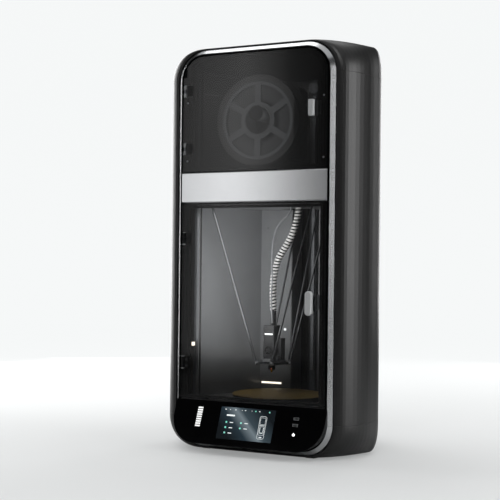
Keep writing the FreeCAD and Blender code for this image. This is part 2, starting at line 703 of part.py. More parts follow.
def head_point(x, y, z):
    """Point given from the head's centre line, at its real height."""
    return V(HEAD_X + x, BED_Y + y, z)


def head_box(x0, x1, y0, y1, z0, z1):
    """Box placed from the head's centre line."""
    return box(HEAD_X + x0, HEAD_X + x1, BED_Y + y0, BED_Y + y1, z0, z1)


def softened(shape, radius):
    """Shape with its upright edges rounded."""
    upright = []
    for edge in shape.Edges:
        span = edge.BoundBox
        if span.ZLength > 5 and span.XLength < 0.1 and span.YLength < 0.1:
            upright.append(edge)
    return shape.makeFillet(radius, upright)


def effector_plate():
    """Triangular plate with three arms that end in pairs of ball studs."""
    centre = V(HEAD_X, BED_Y, 0)
    solids = [Part.makeCylinder(36, 8, centre + V(0, 0, EFFECTOR_Z - 4))]
    for turn in TURNS.values():
        arm = box(-29, 29, 20, EFFECTOR_JOINT_RADIUS + 4, EFFECTOR_Z - 4, EFFECTOR_Z + 4)
        for sign in (-1, 1):
            start = V(sign * 28, EFFECTOR_JOINT_RADIUS, EFFECTOR_Z)
            end = V(sign * ARM_SPACING / 2, EFFECTOR_JOINT_RADIUS, EFFECTOR_Z)
            arm = fuse([arm, rod(2.0, start, end), Part.makeSphere(BALL_RADIUS, end)])
        arm.rotate(V(0, 0, 0), V(0, 0, 1), turn)
        arm.translate(centre)
        solids.append(arm)
    return fuse(solids).cut(rod(12.5, head_point(0, 0, 200), head_point(0, 0, 400)))


FAN_Z = 330.0


def head_shell_lower():
    """Main cover of the head, with a round opening for the fan."""
    block = softened(head_box(-22, 22, -26, 26, 296, 362), 4)
    inside = head_box(-19, 19, -22, 22, 290, 359)
    mouth = Part.makeCylinder(16.2, 10, head_point(0, -30, FAN_Z), V(0, 1, 0))
    return block.cut(inside).cut(mouth)


def head_shell_upper():
    """Cap over the head's circuit board."""
    cap = softened(head_box(-22, 22, -26, 26, 379, 416), 5)
    return cap.cut(head_box(-19, 19, -23, 23, 370, 413))


def head_collar():
    """Narrow grey collar between the two covers."""
    return softened(head_box(-20.5, 20.5, -24.5, 24.5, 362.3, 378.7), 4)


def fan_frame():
    """Eight-sided fan surround in the head's front."""
    corners = []
    for i in range(8):
        angle = math.radians(22.5 + 45 * i)
        corners.append(head_point(17.5 * math.cos(angle), -27.6, FAN_Z + 17.5 * math.sin(angle)))
    face = Part.Face(Part.makePolygon(corners + corners[:1]))
    ring = face.extrude(V(0, 1.5, 0))
    sleeve = Part.makeCylinder(15.9, 8, head_point(0, -26.1, FAN_Z), V(0, 1, 0))
    bore = Part.makeCylinder(14.2, 20, head_point(0, -30, FAN_Z), V(0, 1, 0))
    spider = Part.makeCylinder(5.0, 2, head_point(0, -20.1, FAN_Z), V(0, 1, 0))
    level = head_box(-15, 15, -20.1, -18.1, FAN_Z - 1, FAN_Z + 1)
    upright = head_box(-1, 1, -20.1, -18.1, FAN_Z - 15, FAN_Z + 15)
    return fuse([fuse([ring, sleeve]).cut(bore), spider, level, upright])


def fan_rotor(radius, hub_radius, blades, thickness, blade):
    """Fan wheel about the Y axis at the origin: a hub and slanted blades."""
    solids = [Part.makeCylinder(hub_radius, thickness, V(0, 0, 0), V(0, 1, 0))]
    y0, y1 = (thickness - blade) / 2, (thickness + blade) / 2
    for i in range(blades):
        vane = box(hub_radius - 1.5, radius, y0, y1, -radius * 0.22, radius * 0.22)
        vane.rotate(V(0, thickness / 2, 0), V(1, 0, 0), 28)
        vane.rotate(V(0, 0, 0), V(0, 1, 0), 360.0 * i / blades)
        solids.append(vane)
    envelope = Part.makeCylinder(radius, thickness, V(0, 0, 0), V(0, 1, 0))
    return fuse(solids).common(envelope)


def head_fan_rotor():
    """Small fan wheel in the head."""
    wheel = fan_rotor(13.4, 6.0, 7, 4.6, 0.8)
    wheel.translate(head_point(0, -25.4, FAN_Z))
    return wheel


def heat_sink():
    """Finned cooler above the nozzle."""
    core = rod(6.0, head_point(0, 0, 284.5), head_point(0, 0, 352))
    fins = [rod(11.5, head_point(0, 0, 300 + 5 * i), head_point(0, 0, 302 + 5 * i)) for i in range(10)]
    return fuse([core] + fins)


def heater_block():
    """Heated block between the cooler and the nozzle."""
    block = head_box(-9, 9, -11, 11, 263, 277)
    return fuse([block, rod(3.0, head_point(0, 0, 277), head_point(0, 0, 284.5))])


def nozzle():
    """Brass nozzle with its hexagon and cone."""
    cone = Part.makeCone(0.8, 3.4, 5, head_point(0, 0, 252))
    return fuse([cone, rod(4.6, head_point(0, 0, 257), head_point(0, 0, 263))])


def head_light():
    """Light bar under the head's front."""
    return head_box(-15, 15, -40, -28.5, 292.2, 301.5)


def head_blower():
    """Part-cooling blower at the head's right rear, with its outlet duct."""
    body = softened(head_box(23, 39, -6, 26, 296, 372), 3)
    duct = head_box(24, 34, -20, -6, 296, 312)
    return fuse([body, duct])


def hose_sleeves():
    """Two plain sleeves on the head's lid, for the hose and the filament tube."""
    big = rod(9.5, V(HOSE_POINTS[-1].x, HOSE_POINTS[-1].y, 416), HOSE_POINTS[-1])
    small = rod(5.0, V(TUBE_POINTS[-1].x, TUBE_POINTS[-1].y, 416), TUBE_POINTS[-1])
    return [big, small]


HOSE_POINTS = [V(x, BED_Y + 14, z) for x, z in
               ((64, 826), (54, 760), (24, 700), (-14, 650), (-31, 585), (-34, 525), (-30, 466))]
TUBE_POINTS = [V(x, BED_Y - 12, z) for x, z in
               ((47, 826), (41, 800), (15, 781), (-11, 752), (-23, 700), (-26, 640), (-23, 580),
                (-27, 520), (-25, 470), (-22, 424))]


# ---- filament bay ----

def spool():
    """Two windowed flanges on a barrel; the spool hangs on the axle by its bore."""
    flange_width = 4.0
    window = Part.makeCylinder(118, flange_width + 2, V(0, -1, 0), V(0, 1, 0)).cut(
        Part.makeCylinder(62, flange_width + 4, V(0, -2, 0), V(0, 1, 0)))
    for i in range(3):
        bar = box(-130, 130, -2, flange_width + 2, -11, 11)
        bar.rotate(V(0, 0, 0), V(0, 1, 0), 30 + 60 * i)
        window = window.cut(bar)
    flange = Part.makeCylinder(SPOOL_RADIUS, flange_width, V(0, 0, 0), V(0, 1, 0)).cut(window)
    rear = flange.copy()
    rear.translate(V(0, SPOOL_WIDTH - flange_width, 0))
    barrel = Part.makeCylinder(54, SPOOL_WIDTH, V(0, 0, 0), V(0, 1, 0))
    bore = Part.makeCylinder(SPOOL_BORE, SPOOL_WIDTH + 2, V(0, -1, 0), V(0, 1, 0))
    whole = fuse([flange, rear, barrel]).cut(bore)
    whole.translate(SPOOL_CENTRE)
    return whole


def filament_coil():
    """Filament wound on the barrel, as one solid ring."""
    ring = Part.makeCylinder(134, SPOOL_WIDTH - 9, V(0, 4.5, 0), V(0, 1, 0)).cut(
        Part.makeCylinder(54.2, SPOOL_WIDTH, V(0, 0, 0), V(0, 1, 0)))
    ring.translate(SPOOL_CENTRE)
    return ring


def spool_axle():
    """Fixed axle with a retaining cap; the bore's top rests on it."""
    z = SPOOL_Z + SPOOL_BORE - AXLE_RADIUS - 0.4
    shaft = disc(AXLE_RADIUS, depth(10), depth(114), 0, z)
    cap = disc(AXLE_RADIUS + 3, depth(4), depth(12), 0, z)
    return fuse([shaft, cap])


def dryer_housing():
    """Filament dryer behind the spool, with a round air grille."""
    body = rounded_plate(112, SPOOL_Z - 122, SPOOL_Z + 122, depth(114), depth(172), (26, 26))
    return body.cut(disc(60, depth(160), depth(173), 0, SPOOL_Z))


def extruder():
    """Filament drive on the bay's floor, above the hose."""
    y = BED_Y + 14
    block = box(30, 84, y - 30, y + 30, CEILING_Z + 4.5, CEILING_Z + 52)
    pocket = disc(13.3, y - 31, y - 18, 57, CEILING_Z + 30)
    return block.cut(pocket)


def extruder_gear():
    """Knurled gear that drives the filament."""
    y = BED_Y + 14
    wheel = disc(12, y - 30, y - 18.5, 57, CEILING_Z + 30)
    for i in range(18):
        angle = math.radians(20 * i)
        groove = disc(0.9, y - 31, y - 18, 57 + 12 * math.cos(angle), CEILING_Z + 30 + 12 * math.sin(angle))
        wheel = wheel.cut(groove)
    return wheel


# ---- base electronics ----

def power_supply():
    """Mains power supply in the base."""
    case = box(-107, 107, depth(290), depth(398), 24, 64)
    slots = [box(-90 + 12 * i, -86 + 12 * i, depth(300), depth(388), 60, 65) for i in range(15)]
    return case.cut(group(slots))


def mainboard():
    """Control board with its four driver coolers and connectors."""
    board = box(-85, 85, depth(110), depth(215), 32, 33.6)
    coolers = [box(-60 + 30 * i, -44 + 30 * i, depth(140), depth(156), 33.6, 46) for i in range(4)]
    plugs = [box(-70 + 35 * i, -48 + 35 * i, depth(196), depth(208), 33.6, 44) for i in range(4)]
    standoffs = [rod(3, V(x, depth(d), 22), V(x, depth(d), 32)) for x in (-80, 80) for d in (115, 210)]
    return fuse([board] + coolers + plugs + standoffs)


def power_inlet():
    """Mains inlet and rocker switch in the rear panel."""
    body = box(42.3, 91.7, depth(REAR_DEPTH - 24), depth(REAR_DEPTH - 1.5), 132.3, 161.7)
    return body.cut(box(47, 70, depth(REAR_DEPTH - 18), depth(REAR_DEPTH), 138, 156))


def led_strip():
    """Light strip low on the chamber's rear wall."""
    return box(-168, -90, depth(408.4), depth(412.8), 190, 196)


def build():
    """Every node by name."""
    nodes = {}
    nodes.update(casing_parts())
    nodes["feet"] = feet()
    nodes.update(bezel_parts())
    nodes["band_cover"] = band_cover()
    nodes["front_frame"] = front_frame()
    upper_gasket = gasket(BAND_TOP + 8, MIDDLE_Z + 640, (64, 10))
    lower_gasket = gasket(CONSOLE_TOP + 4, BAND_BOTTOM - 8, (10, 10))
    nodes["door_gaskets"] = group([upper_gasket, lower_gasket])
    every_hinge = HINGES["upper"] + HINGES["lower"]
    brackets = [s for low, high in every_hinge for s in hinge_bracket(low, high)]
    pins = [hinge_pin(low, high) for low, high in every_hinge]
    nodes["hinge_brackets"] = group(brackets + pins + door_catches())
    upper_top = MIDDLE_Z + INNER_HALF_HEIGHT - DOOR_GAP
    upper_radii = (INNER_CORNER - DOOR_GAP, 3.0)
    nodes["upper_door_panel"] = door_panel("upper", BAND_TOP + 1.5, upper_top, upper_radii)
    nodes["lower_door_glass"] = door_panel("lower", CONSOLE_TOP + 1.5, BAND_BOTTOM - 1.5, (5.0, 5.0))
    leaves = {name: [hinge_leaf(low, high) for low, high in HINGES[name]] for name in HINGES}
    upper_screws = screw_heads([(-247, 1168), (-247, 972), (252, 1167), (252, 970)], 3.2)
    lower_screws = screw_heads([(-243, 721), (-243, 701), (-243, 303), (-243, 282)], 6.0)
    nodes["upper_door_fittings"] = group(leaves["upper"] + upper_screws)
    nodes["lower_door_fittings"] = group(leaves["lower"] + lower_screws + [lower_latch()])
    nodes["upper_door_handle"] = upper_handle()
    nodes["lower_door_handle"] = lower_handle()
    nodes["console_housing"] = console_housing()
    nodes["console_glass"] = console_glass()
    nodes["console_lights"] = group([on_slope(0, 105, 100, 54, 2.8, 9.0)] + status_bar())
    nodes["usb_ports"] = usb_ports()
    nodes["power_button"] = power_button()
    walls = [liner(sign, DECK_Z + 4.5, CEILING_Z - 0.3) for sign in (-1, 1)]
    ends = ((HOSE_POINTS[0], HOSE_RADIUS - 2), (TUBE_POINTS[0], TUBE_RADIUS - 1))
    holes = [Part.makeCylinder(r, 20, V(p.x, p.y, CEILING_Z - 5)) for p, r in ends]
    slots = [arm_slot(name) for name in TURNS]
    divider = level_sheet(CEILING_Z, CEILING_Z + 4).cut(group(holes + slots))
    nodes["chamber_panels"] = group(walls + [level_sheet(DECK_Z, DECK_Z + 4), divider])
    lamp = box(-OPENING_HALF_WIDTH, -OPENING_HALF_WIDTH + 6, depth(6), depth(18), 349, 361)
    nodes["chamber_lights"] = group([led_strip(), lamp])
    nodes.update(bed_stack())
    base = [(-215, 22), (215, 22), (285, 110), (285, 230), (90, 500), (-90, 500), (-285, 230), (-285, 110)]
    top = [(-262, 30), (262, 30), (285, 110), (285, 230), (90, 512), (-90, 512), (-285, 230), (-285, 110)]
    nodes["machine_plates"] = group([flat_plate(base, 18, 22), flat_plate(top, TOWER_TOP, TOWER_TOP + 3)])
    nodes["towers"] = group([at_tower(tower_extrusion(), name) for name in TURNS])
    guides = [at_tower(make(), name) for make in (linear_rail, idler_pin) for name in TURNS]
    nodes["rails_and_idler_pins"] = group(guides)
    nodes["motors"] = group([at_tower(motor(), name) for name in TURNS])
    nodes["belts"] = group([at_tower(belt(), name) for name in TURNS])
    for name in TURNS:
        nodes["carriage_" + name] = carriage(name)
        nodes["drive_pulley_" + name] = at_tower(drive_pulley(), name)
        nodes["idler_pulley_" + name] = at_tower(idler_pulley(), name)
    nodes["arms"] = group([arm_pair(name) for name in TURNS])
    nodes["effector_plate"] = effector_plate()
    nodes["head_shells"] = group([head_shell_lower(), head_collar(), head_shell_upper()] + hose_sleeves())
    nodes["head_ducts"] = group([fan_frame(), head_blower()])
    nodes["head_fan_rotor"] = head_fan_rotor()
    nodes["hot_end"] = group([heat_sink(), heater_block()])
    nodes["nozzle"] = nozzle()
    nodes["head_light"] = head_light()
    lines = {"umbilical_hose": (HOSE_POINTS, HOSE_RADIUS), "filament_tube": (TUBE_POINTS, TUBE_RADIUS)}
    for name, (points, radius) in lines.items():
        level_ends = box(-200, 200, -200, 200, points[-1].z + 0.3, CEILING_Z - 0.3)
        nodes[name] = swept_tube(name, points, radius).common(level_ends)
    nodes["spool"] = spool()
    nodes["filament_coil"] = filament_coil()
    nodes["spool_axle"] = spool_axle()
    nodes["dryer_housing"] = dryer_housing()
    nodes["extruder"] = extruder()
    nodes["extruder_gear"] = extruder_gear()
    nodes["base_electronics"] = group([power_supply(), mainboard()])
    nodes["power_inlet"] = power_inlet()
    return nodes


def main():
    """Write one STEP file for each node."""
    os.makedirs("parts", exist_ok=True)
    nodes = build()
    for name, shape in nodes.items():
        shape.exportStep("parts/" + name + ".step")
    print(len(nodes), "nodes")


main()
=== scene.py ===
"""Enclosed delta printer: finishes, fine pieces and studio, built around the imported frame."""

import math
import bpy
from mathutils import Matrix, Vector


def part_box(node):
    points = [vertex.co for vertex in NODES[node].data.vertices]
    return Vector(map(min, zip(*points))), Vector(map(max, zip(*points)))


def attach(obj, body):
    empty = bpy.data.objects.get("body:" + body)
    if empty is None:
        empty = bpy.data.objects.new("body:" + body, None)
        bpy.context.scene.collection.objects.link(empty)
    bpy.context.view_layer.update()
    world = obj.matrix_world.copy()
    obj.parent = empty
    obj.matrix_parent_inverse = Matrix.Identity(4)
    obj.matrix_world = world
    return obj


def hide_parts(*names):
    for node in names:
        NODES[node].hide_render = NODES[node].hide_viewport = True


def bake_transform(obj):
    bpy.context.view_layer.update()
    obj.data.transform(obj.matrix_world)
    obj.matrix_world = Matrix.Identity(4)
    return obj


bl_info = {
    "name": "Delta printer cabinet",
    "version": (1, 1, 0),
    "blender": (4, 5, 0),
    "location": "3D View > Sidebar > Printer",
    "description": "Dresses the cabinet, print head, spool and console of an enclosed delta printer",
    "category": "Object",
}

import bmesh
import bpy
import numpy as np
from mathutils import Matrix, Vector

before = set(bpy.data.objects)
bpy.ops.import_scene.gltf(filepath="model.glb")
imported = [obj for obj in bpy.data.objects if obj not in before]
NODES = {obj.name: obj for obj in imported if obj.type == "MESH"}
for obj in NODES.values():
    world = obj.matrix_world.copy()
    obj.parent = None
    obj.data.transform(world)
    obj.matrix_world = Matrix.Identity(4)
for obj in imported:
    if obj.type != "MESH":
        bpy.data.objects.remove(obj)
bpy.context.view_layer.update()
MM = 0.001


def box_of(node):
    """Lowest and highest corner of a node, as two arrays."""
    low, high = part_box(node)
    return np.array(low), np.array(high)


# Planes and lines of the frame that the pieces are placed from.
RIM_Y = box_of("bezel_arches")[1][1] - 4 * MM
BED_Y = float(box_of("build_sheet")[0][1] + box_of("build_sheet")[1][1]) / 2
HEAD_X = float(box_of("nozzle")[0][0] + box_of("nozzle")[1][0]) / 2
DOOR_FRONT = box_of("lower_door_glass")[0][1]
BRIGHT_RIM = RIM_Y - 13.2 * MM


# ---------------------------------------------------------------- properties


class PrinterSizes(bpy.types.PropertyGroup):
    """Sizes of the fine pieces."""

    hose_pitch: bpy.props.FloatProperty(
        name="Hose pitch", description="Distance from one turn of the wrap to the next", default=0.0115,
        unit="LENGTH",
    )
    winding_pitch: bpy.props.FloatProperty(
        name="Winding pitch", description="Distance between the drawn windings of filament", default=0.0052,
        unit="LENGTH",
    )
    console_tilt: bpy.props.FloatProperty(
        name="Console tilt", description="Lean of the console's face from upright",
        default=math.atan(58 / 138), subtype="ANGLE",
    )
    camera_height: bpy.props.FloatProperty(
        name="Camera height", description="Height of the lens above the floor", default=0.6274, unit="LENGTH"
    )
    camera_turn: bpy.props.FloatProperty(
        name="Camera turn", description="Angle of the view round from the front", default=math.radians(27.01),
        subtype="ANGLE",
    )


class PrinterColours(bpy.types.PropertyGroup):
    """Colours of the main finishes, as sRGB hex values."""

    casing: bpy.props.StringProperty(name="Casing", description="Metallic charcoal coat", default="414141")
    metal: bpy.props.StringProperty(name="Bezel", description="Anodised aluminium", default="dedfe1")
    sheet: bpy.props.StringProperty(name="Build sheet", description="Textured golden sheet", default="846c30")
    screen: bpy.props.StringProperty(name="Screen", description="Display ground", default="26323a")
    accent: bpy.props.StringProperty(name="Accent", description="Display symbols", default="2fc4ac")


# ---------------------------------------------------------------- node tools


def linear(code):
    """Linear RGBA of an sRGB hex value."""
    parts = np.array([int(code[i : i + 2], 16) / 255 for i in (0, 2, 4)])
    parts = np.where(parts <= 0.04045, parts / 12.92, ((parts + 0.055) / 1.055) ** 2.4)
    return tuple(parts.tolist()) + (1.0,)


def add_node(tree, kind, inputs=None, **settings):
    """Adds a node; an input takes a number, a colour or another node's output socket."""
    node = tree.nodes.new(kind)
    for name, value in settings.items():
        setattr(node, name, value)
    for name, value in (inputs or {}).items():
        if isinstance(value, bpy.types.NodeSocket):
            tree.links.new(value, node.inputs[name])
        else:
            node.inputs[name].default_value = value
    return node


def new_surface(name, **inputs):
    """Material with one Principled shader; returns the material, its tree and the shader."""
    material = bpy.data.materials.new(name)
    material.use_nodes = True
    tree = material.node_tree
    shader = tree.nodes["Principled BSDF"]
    for key, value in inputs.items():
        shader.inputs[key.replace("_", " ")].default_value = value
    return material, tree, shader


def place(tree):
    """Output of the object coordinates, in metres."""
    return add_node(tree, "ShaderNodeTexCoord").outputs["Object"]


def ramp(tree, source, stops, mode="LINEAR"):
    """Colour that goes through (position, sRGB hex) stops as the source goes from 0 to 1."""
    node = add_node(tree, "ShaderNodeValToRGB", {"Fac": source})
    node.color_ramp.interpolation = mode
    elements = node.color_ramp.elements
    while len(elements) < len(stops):
        elements.new(0.5)
    for element, (position, code) in zip(elements, stops):
        element.position = position
        element.color = linear(code)
    return node.outputs["Color"]


def vary_colour(tree, shader, source, dark, light, low=0.35, high=0.65):
    """Colours the shader from dark to light as the source goes from low to high."""
    tree.links.new(ramp(tree, source, ((low, dark), (high, light))), shader.inputs["Base Color"])


def vary_roughness(tree, shader, source, low, high):
    """Spreads the shader's roughness between two values by a 0 to 1 source."""
    span = add_node(tree, "ShaderNodeMapRange", {"Value": source, "To Min": low, "To Max": high})
    tree.links.new(span.outputs["Result"], shader.inputs["Roughness"])


def emboss(tree, shader, source, depth, strength=1.0):
    """Bump of a real depth in metres from a 0 to 1 source."""
    bump = add_node(tree, "ShaderNodeBump", {"Height": source, "Distance": depth, "Strength": strength})
    tree.links.new(bump.outputs["Normal"], shader.inputs["Normal"])


def grain(tree, size, detail=3.0, stretch=(1, 1, 1)):
    """Noise whose grains are this many metres across, drawn out along an axis where stretch is small."""
    mapped = add_node(tree, "ShaderNodeMapping", {"Vector": place(tree), "Scale": stretch})
    return add_node(
        tree, "ShaderNodeTexNoise", {"Vector": mapped.outputs["Vector"], "Scale": 1 / size, "Detail": detail}
    ).outputs["Fac"]


def varied(name, colours, fine, shine, coarse, detail=3.0, stretch=(1, 1, 1), **inputs):
    """Material that varies in colour by fine grains and in roughness by coarse ones, sizes in metres."""
    material, tree, shader = new_surface(name, **inputs)
    vary_colour(tree, shader, grain(tree, fine, detail, stretch), *colours)
    vary_roughness(tree, shader, grain(tree, coarse), *shine)
    return material


def along(tree, axis, start, end):
    """0 at start and 1 at end along an axis of the object, in metres."""
    parts = add_node(tree, "ShaderNodeSeparateXYZ", {"Vector": place(tree)})
    return add_node(
        tree, "ShaderNodeMapRange", {"Value": parts.outputs[axis], "From Min": start, "From Max": end}
    ).outputs["Result"]


def blend_colours(tree, share, first, second):
    """First colour where share is 0, second where it is 1; each is a socket or a hex value."""
    mix = add_node(tree, "ShaderNodeMix", data_type="RGBA")
    tree.links.new(share, mix.inputs[0])
    for socket, colour in ((mix.inputs[6], first), (mix.inputs[7], second)):
        if isinstance(colour, str):
            socket.default_value = linear(colour)
        else:
            tree.links.new(colour, socket)
    return mix.outputs[2]


def dress(material, *nodes):
    """Gives CAD nodes a material."""
    for name in nodes:
        mesh = NODES[name].data
        mesh.materials.clear()
        mesh.materials.append(material)


def lamp_surface(name, code, strength):
    """Milky lit plastic of one colour with a faint mottle."""
    material, tree, shader = new_surface(name, Roughness=0.4, Emission_Strength=strength)
    shader.inputs["Emission Color"].default_value = linear(code)
    vary_colour(tree, shader, grain(tree, 4 * MM), code, "f2f2f0")
    return material


# ---------------------------------------------------------------- mesh tools


def grid_faces(rows, columns, wrap_rows=False, wrap_columns=False):
    """Quads of a grid of rows by columns points; a wrapped direction joins its last line to its first."""
    i = np.arange(rows if wrap_rows else rows - 1)[:, None]
    j = np.arange(columns if wrap_columns else columns - 1)[None, :]
    i2, j2 = (i + 1) % rows, (j + 1) % columns
    quads = np.stack([i * columns + j, i * columns + j2, i2 * columns + j2, i2 * columns + j], axis=-1)
    return quads.reshape(-1, 4).tolist()


def joined(shapes):
    """One (points, faces) shape from several."""
    points, faces, count = [], [], 0
    for shape_points, shape_faces in shapes:
        points.append(shape_points)
        faces += [[index + count for index in face] for face in shape_faces]
        count += len(shape_points)
    return np.concatenate(points), faces


def new_piece(name, shape, material, body, smooth=True, stands_for=()):
    """Object from closed (points, faces) shells, with outward faces, riding on a body."""
    points, faces = shape
    mesh = bpy.data.meshes.new(name)
    mesh.from_pydata(points.tolist(), [], faces)
    shell = bmesh.new()
    shell.from_mesh(mesh)
    bmesh.ops.remove_doubles(shell, verts=shell.verts, dist=1e-6)
    bmesh.ops.dissolve_degenerate(shell, edges=shell.edges, dist=1e-7)
    bmesh.ops.recalc_face_normals(shell, faces=shell.faces)
    shell.to_mesh(mesh)
    shell.free()
    mesh.shade_smooth() if smooth else mesh.shade_flat()
    mesh.materials.append(material)
    piece = bpy.data.objects.new(name, mesh)
    bpy.context.scene.collection.objects.link(piece)
    if body:
        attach(piece, body)
    if stands_for:
        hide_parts(*stands_for)
    return piece


def prism(outline, low, high, at):
    """Closed plate: an outline of (u, v) points carried from w = low to w = high, placed by at(u, v, w)."""
    count = len(outline)
    flat = np.concatenate([outline, outline])
    lift = np.repeat([low, high], count)
    points = at(flat[:, 0], flat[:, 1], lift)
    faces = grid_faces(2, count, wrap_columns=True)
    return points, faces + [list(range(count)), list(range(count, 2 * count))]


def frame_plate(outer, inner, low, high, at):
    """Closed flat ring between two outlines with the same number of points."""
    flat = np.concatenate([outer, outer, inner, inner])
    lift = np.repeat([low, high, high, low], len(outer))
    return at(flat[:, 0], flat[:, 1], lift), grid_faces(4, len(outer), wrap_rows=True, wrap_columns=True)


def rounded_outline(u, v, half_u, half_v, radius, steps=5):
    """Rectangle about (u, v) with quarter-circle corners: each corner centre plus radius times (cos, sin)."""
    angles = (np.arange(4)[:, None] + np.linspace(0, 1, steps)[None, :]) * (math.pi / 2)
    sign_u = np.array([1, -1, -1, 1])[:, None]
    sign_v = np.array([1, 1, -1, -1])[:, None]
    across = u + sign_u * (half_u - radius) + radius * np.cos(angles)
    upward = v + sign_v * (half_v - radius) + radius * np.sin(angles)
    return np.stack([across.ravel(), upward.ravel()], axis=1)


def lathe(profile, centre, axis, columns=32):
    """Surface of revolution: (height, radius) points turned about an axis through centre."""
    axis = np.asarray(axis, float) / np.linalg.norm(axis)
    side = np.cross(axis, [0.0, 0.0, 1.0] if abs(axis[2]) < 0.9 else [1.0, 0.0, 0.0])
    side /= np.linalg.norm(side)
    other = np.cross(axis, side)
    angle = np.linspace(0, 2 * np.pi, columns, endpoint=False)
    ring = np.cos(angle)[:, None] * side + np.sin(angle)[:, None] * other
    profile = np.asarray(profile, float)
    points = np.asarray(centre) + profile[:, None, 0:1] * axis + profile[:, None, 1:2] * ring[None]
    closed = profile[0, 1] > 0
    return points.reshape(-1, 3), grid_faces(len(profile), columns, wrap_rows=closed, wrap_columns=True)


def dome(centre, axis, radius, height, columns=16):
    """Low rounded cap: radius times the cosine and height times the sine of an angle, rim to crown."""
    rise = np.linspace(0, math.pi / 2, 6)
    crown = np.stack([height * np.sin(rise), radius * np.cos(rise)], axis=1)
    crown[-1, 1] = 0
    sunk = -height * 0.4
    return lathe(np.concatenate([[[sunk, 0], [sunk, radius]], crown]), centre, axis, columns)


def read_route(points, spacing):
    """Even points along the smooth spline whose control points are the route."""
    curve = bpy.data.curves.new("route", "CURVE")
    curve.dimensions = "3D"
    curve.resolution_u = 24
    spline = curve.splines.new("NURBS")
    spline.points.add(len(points) - 1)
    spline.points.foreach_set("co", np.column_stack([points, np.ones(len(points))]).ravel())
    spline.order_u = 3
    spline.use_endpoint_u = True
    holder = bpy.data.objects.new("route", curve)
    mesh = bpy.data.meshes.new_from_object(holder)
    line = np.zeros(len(mesh.vertices) * 3)
    mesh.vertices.foreach_get("co", line)
    line = line.reshape(-1, 3)
    bpy.data.objects.remove(holder)
    bpy.data.meshes.remove(mesh)
    bpy.data.curves.remove(curve)
    travelled = np.concatenate([[0], np.cumsum(np.linalg.norm(np.diff(line, axis=0), axis=1))])
    stops = np.linspace(0, travelled[-1], int(round(travelled[-1] / spacing)) + 1)
    return np.stack([np.interp(stops, travelled, line[:, k]) for k in range(3)], axis=1), stops


def tube_along(path, radii):
    """Closed tube: at each path point a ring of radii about the path, in the depth axis and its normal."""
    rows, columns = radii.shape
    tangent = np.gradient(path, axis=0)
    tangent /= np.linalg.norm(tangent, axis=1)[:, None]
    depth_axis = np.broadcast_to([0.0, 1.0, 0.0], path.shape)
    normal = np.cross(tangent, depth_axis)
    angle = np.linspace(0, 2 * np.pi, columns, endpoint=False)[None, :, None]
    ring = np.cos(angle) * depth_axis[:, None, :] + np.sin(angle) * normal[:, None, :]
    points = (path[:, None, :] + radii[:, :, None] * ring).reshape(-1, 3)
    last = (rows - 1) * columns
    ends = [list(range(columns)), list(range(last, last + columns))]
    return points, grid_faces(rows, columns, wrap_columns=True) + ends


# ---------------------------------------------------------------- stage


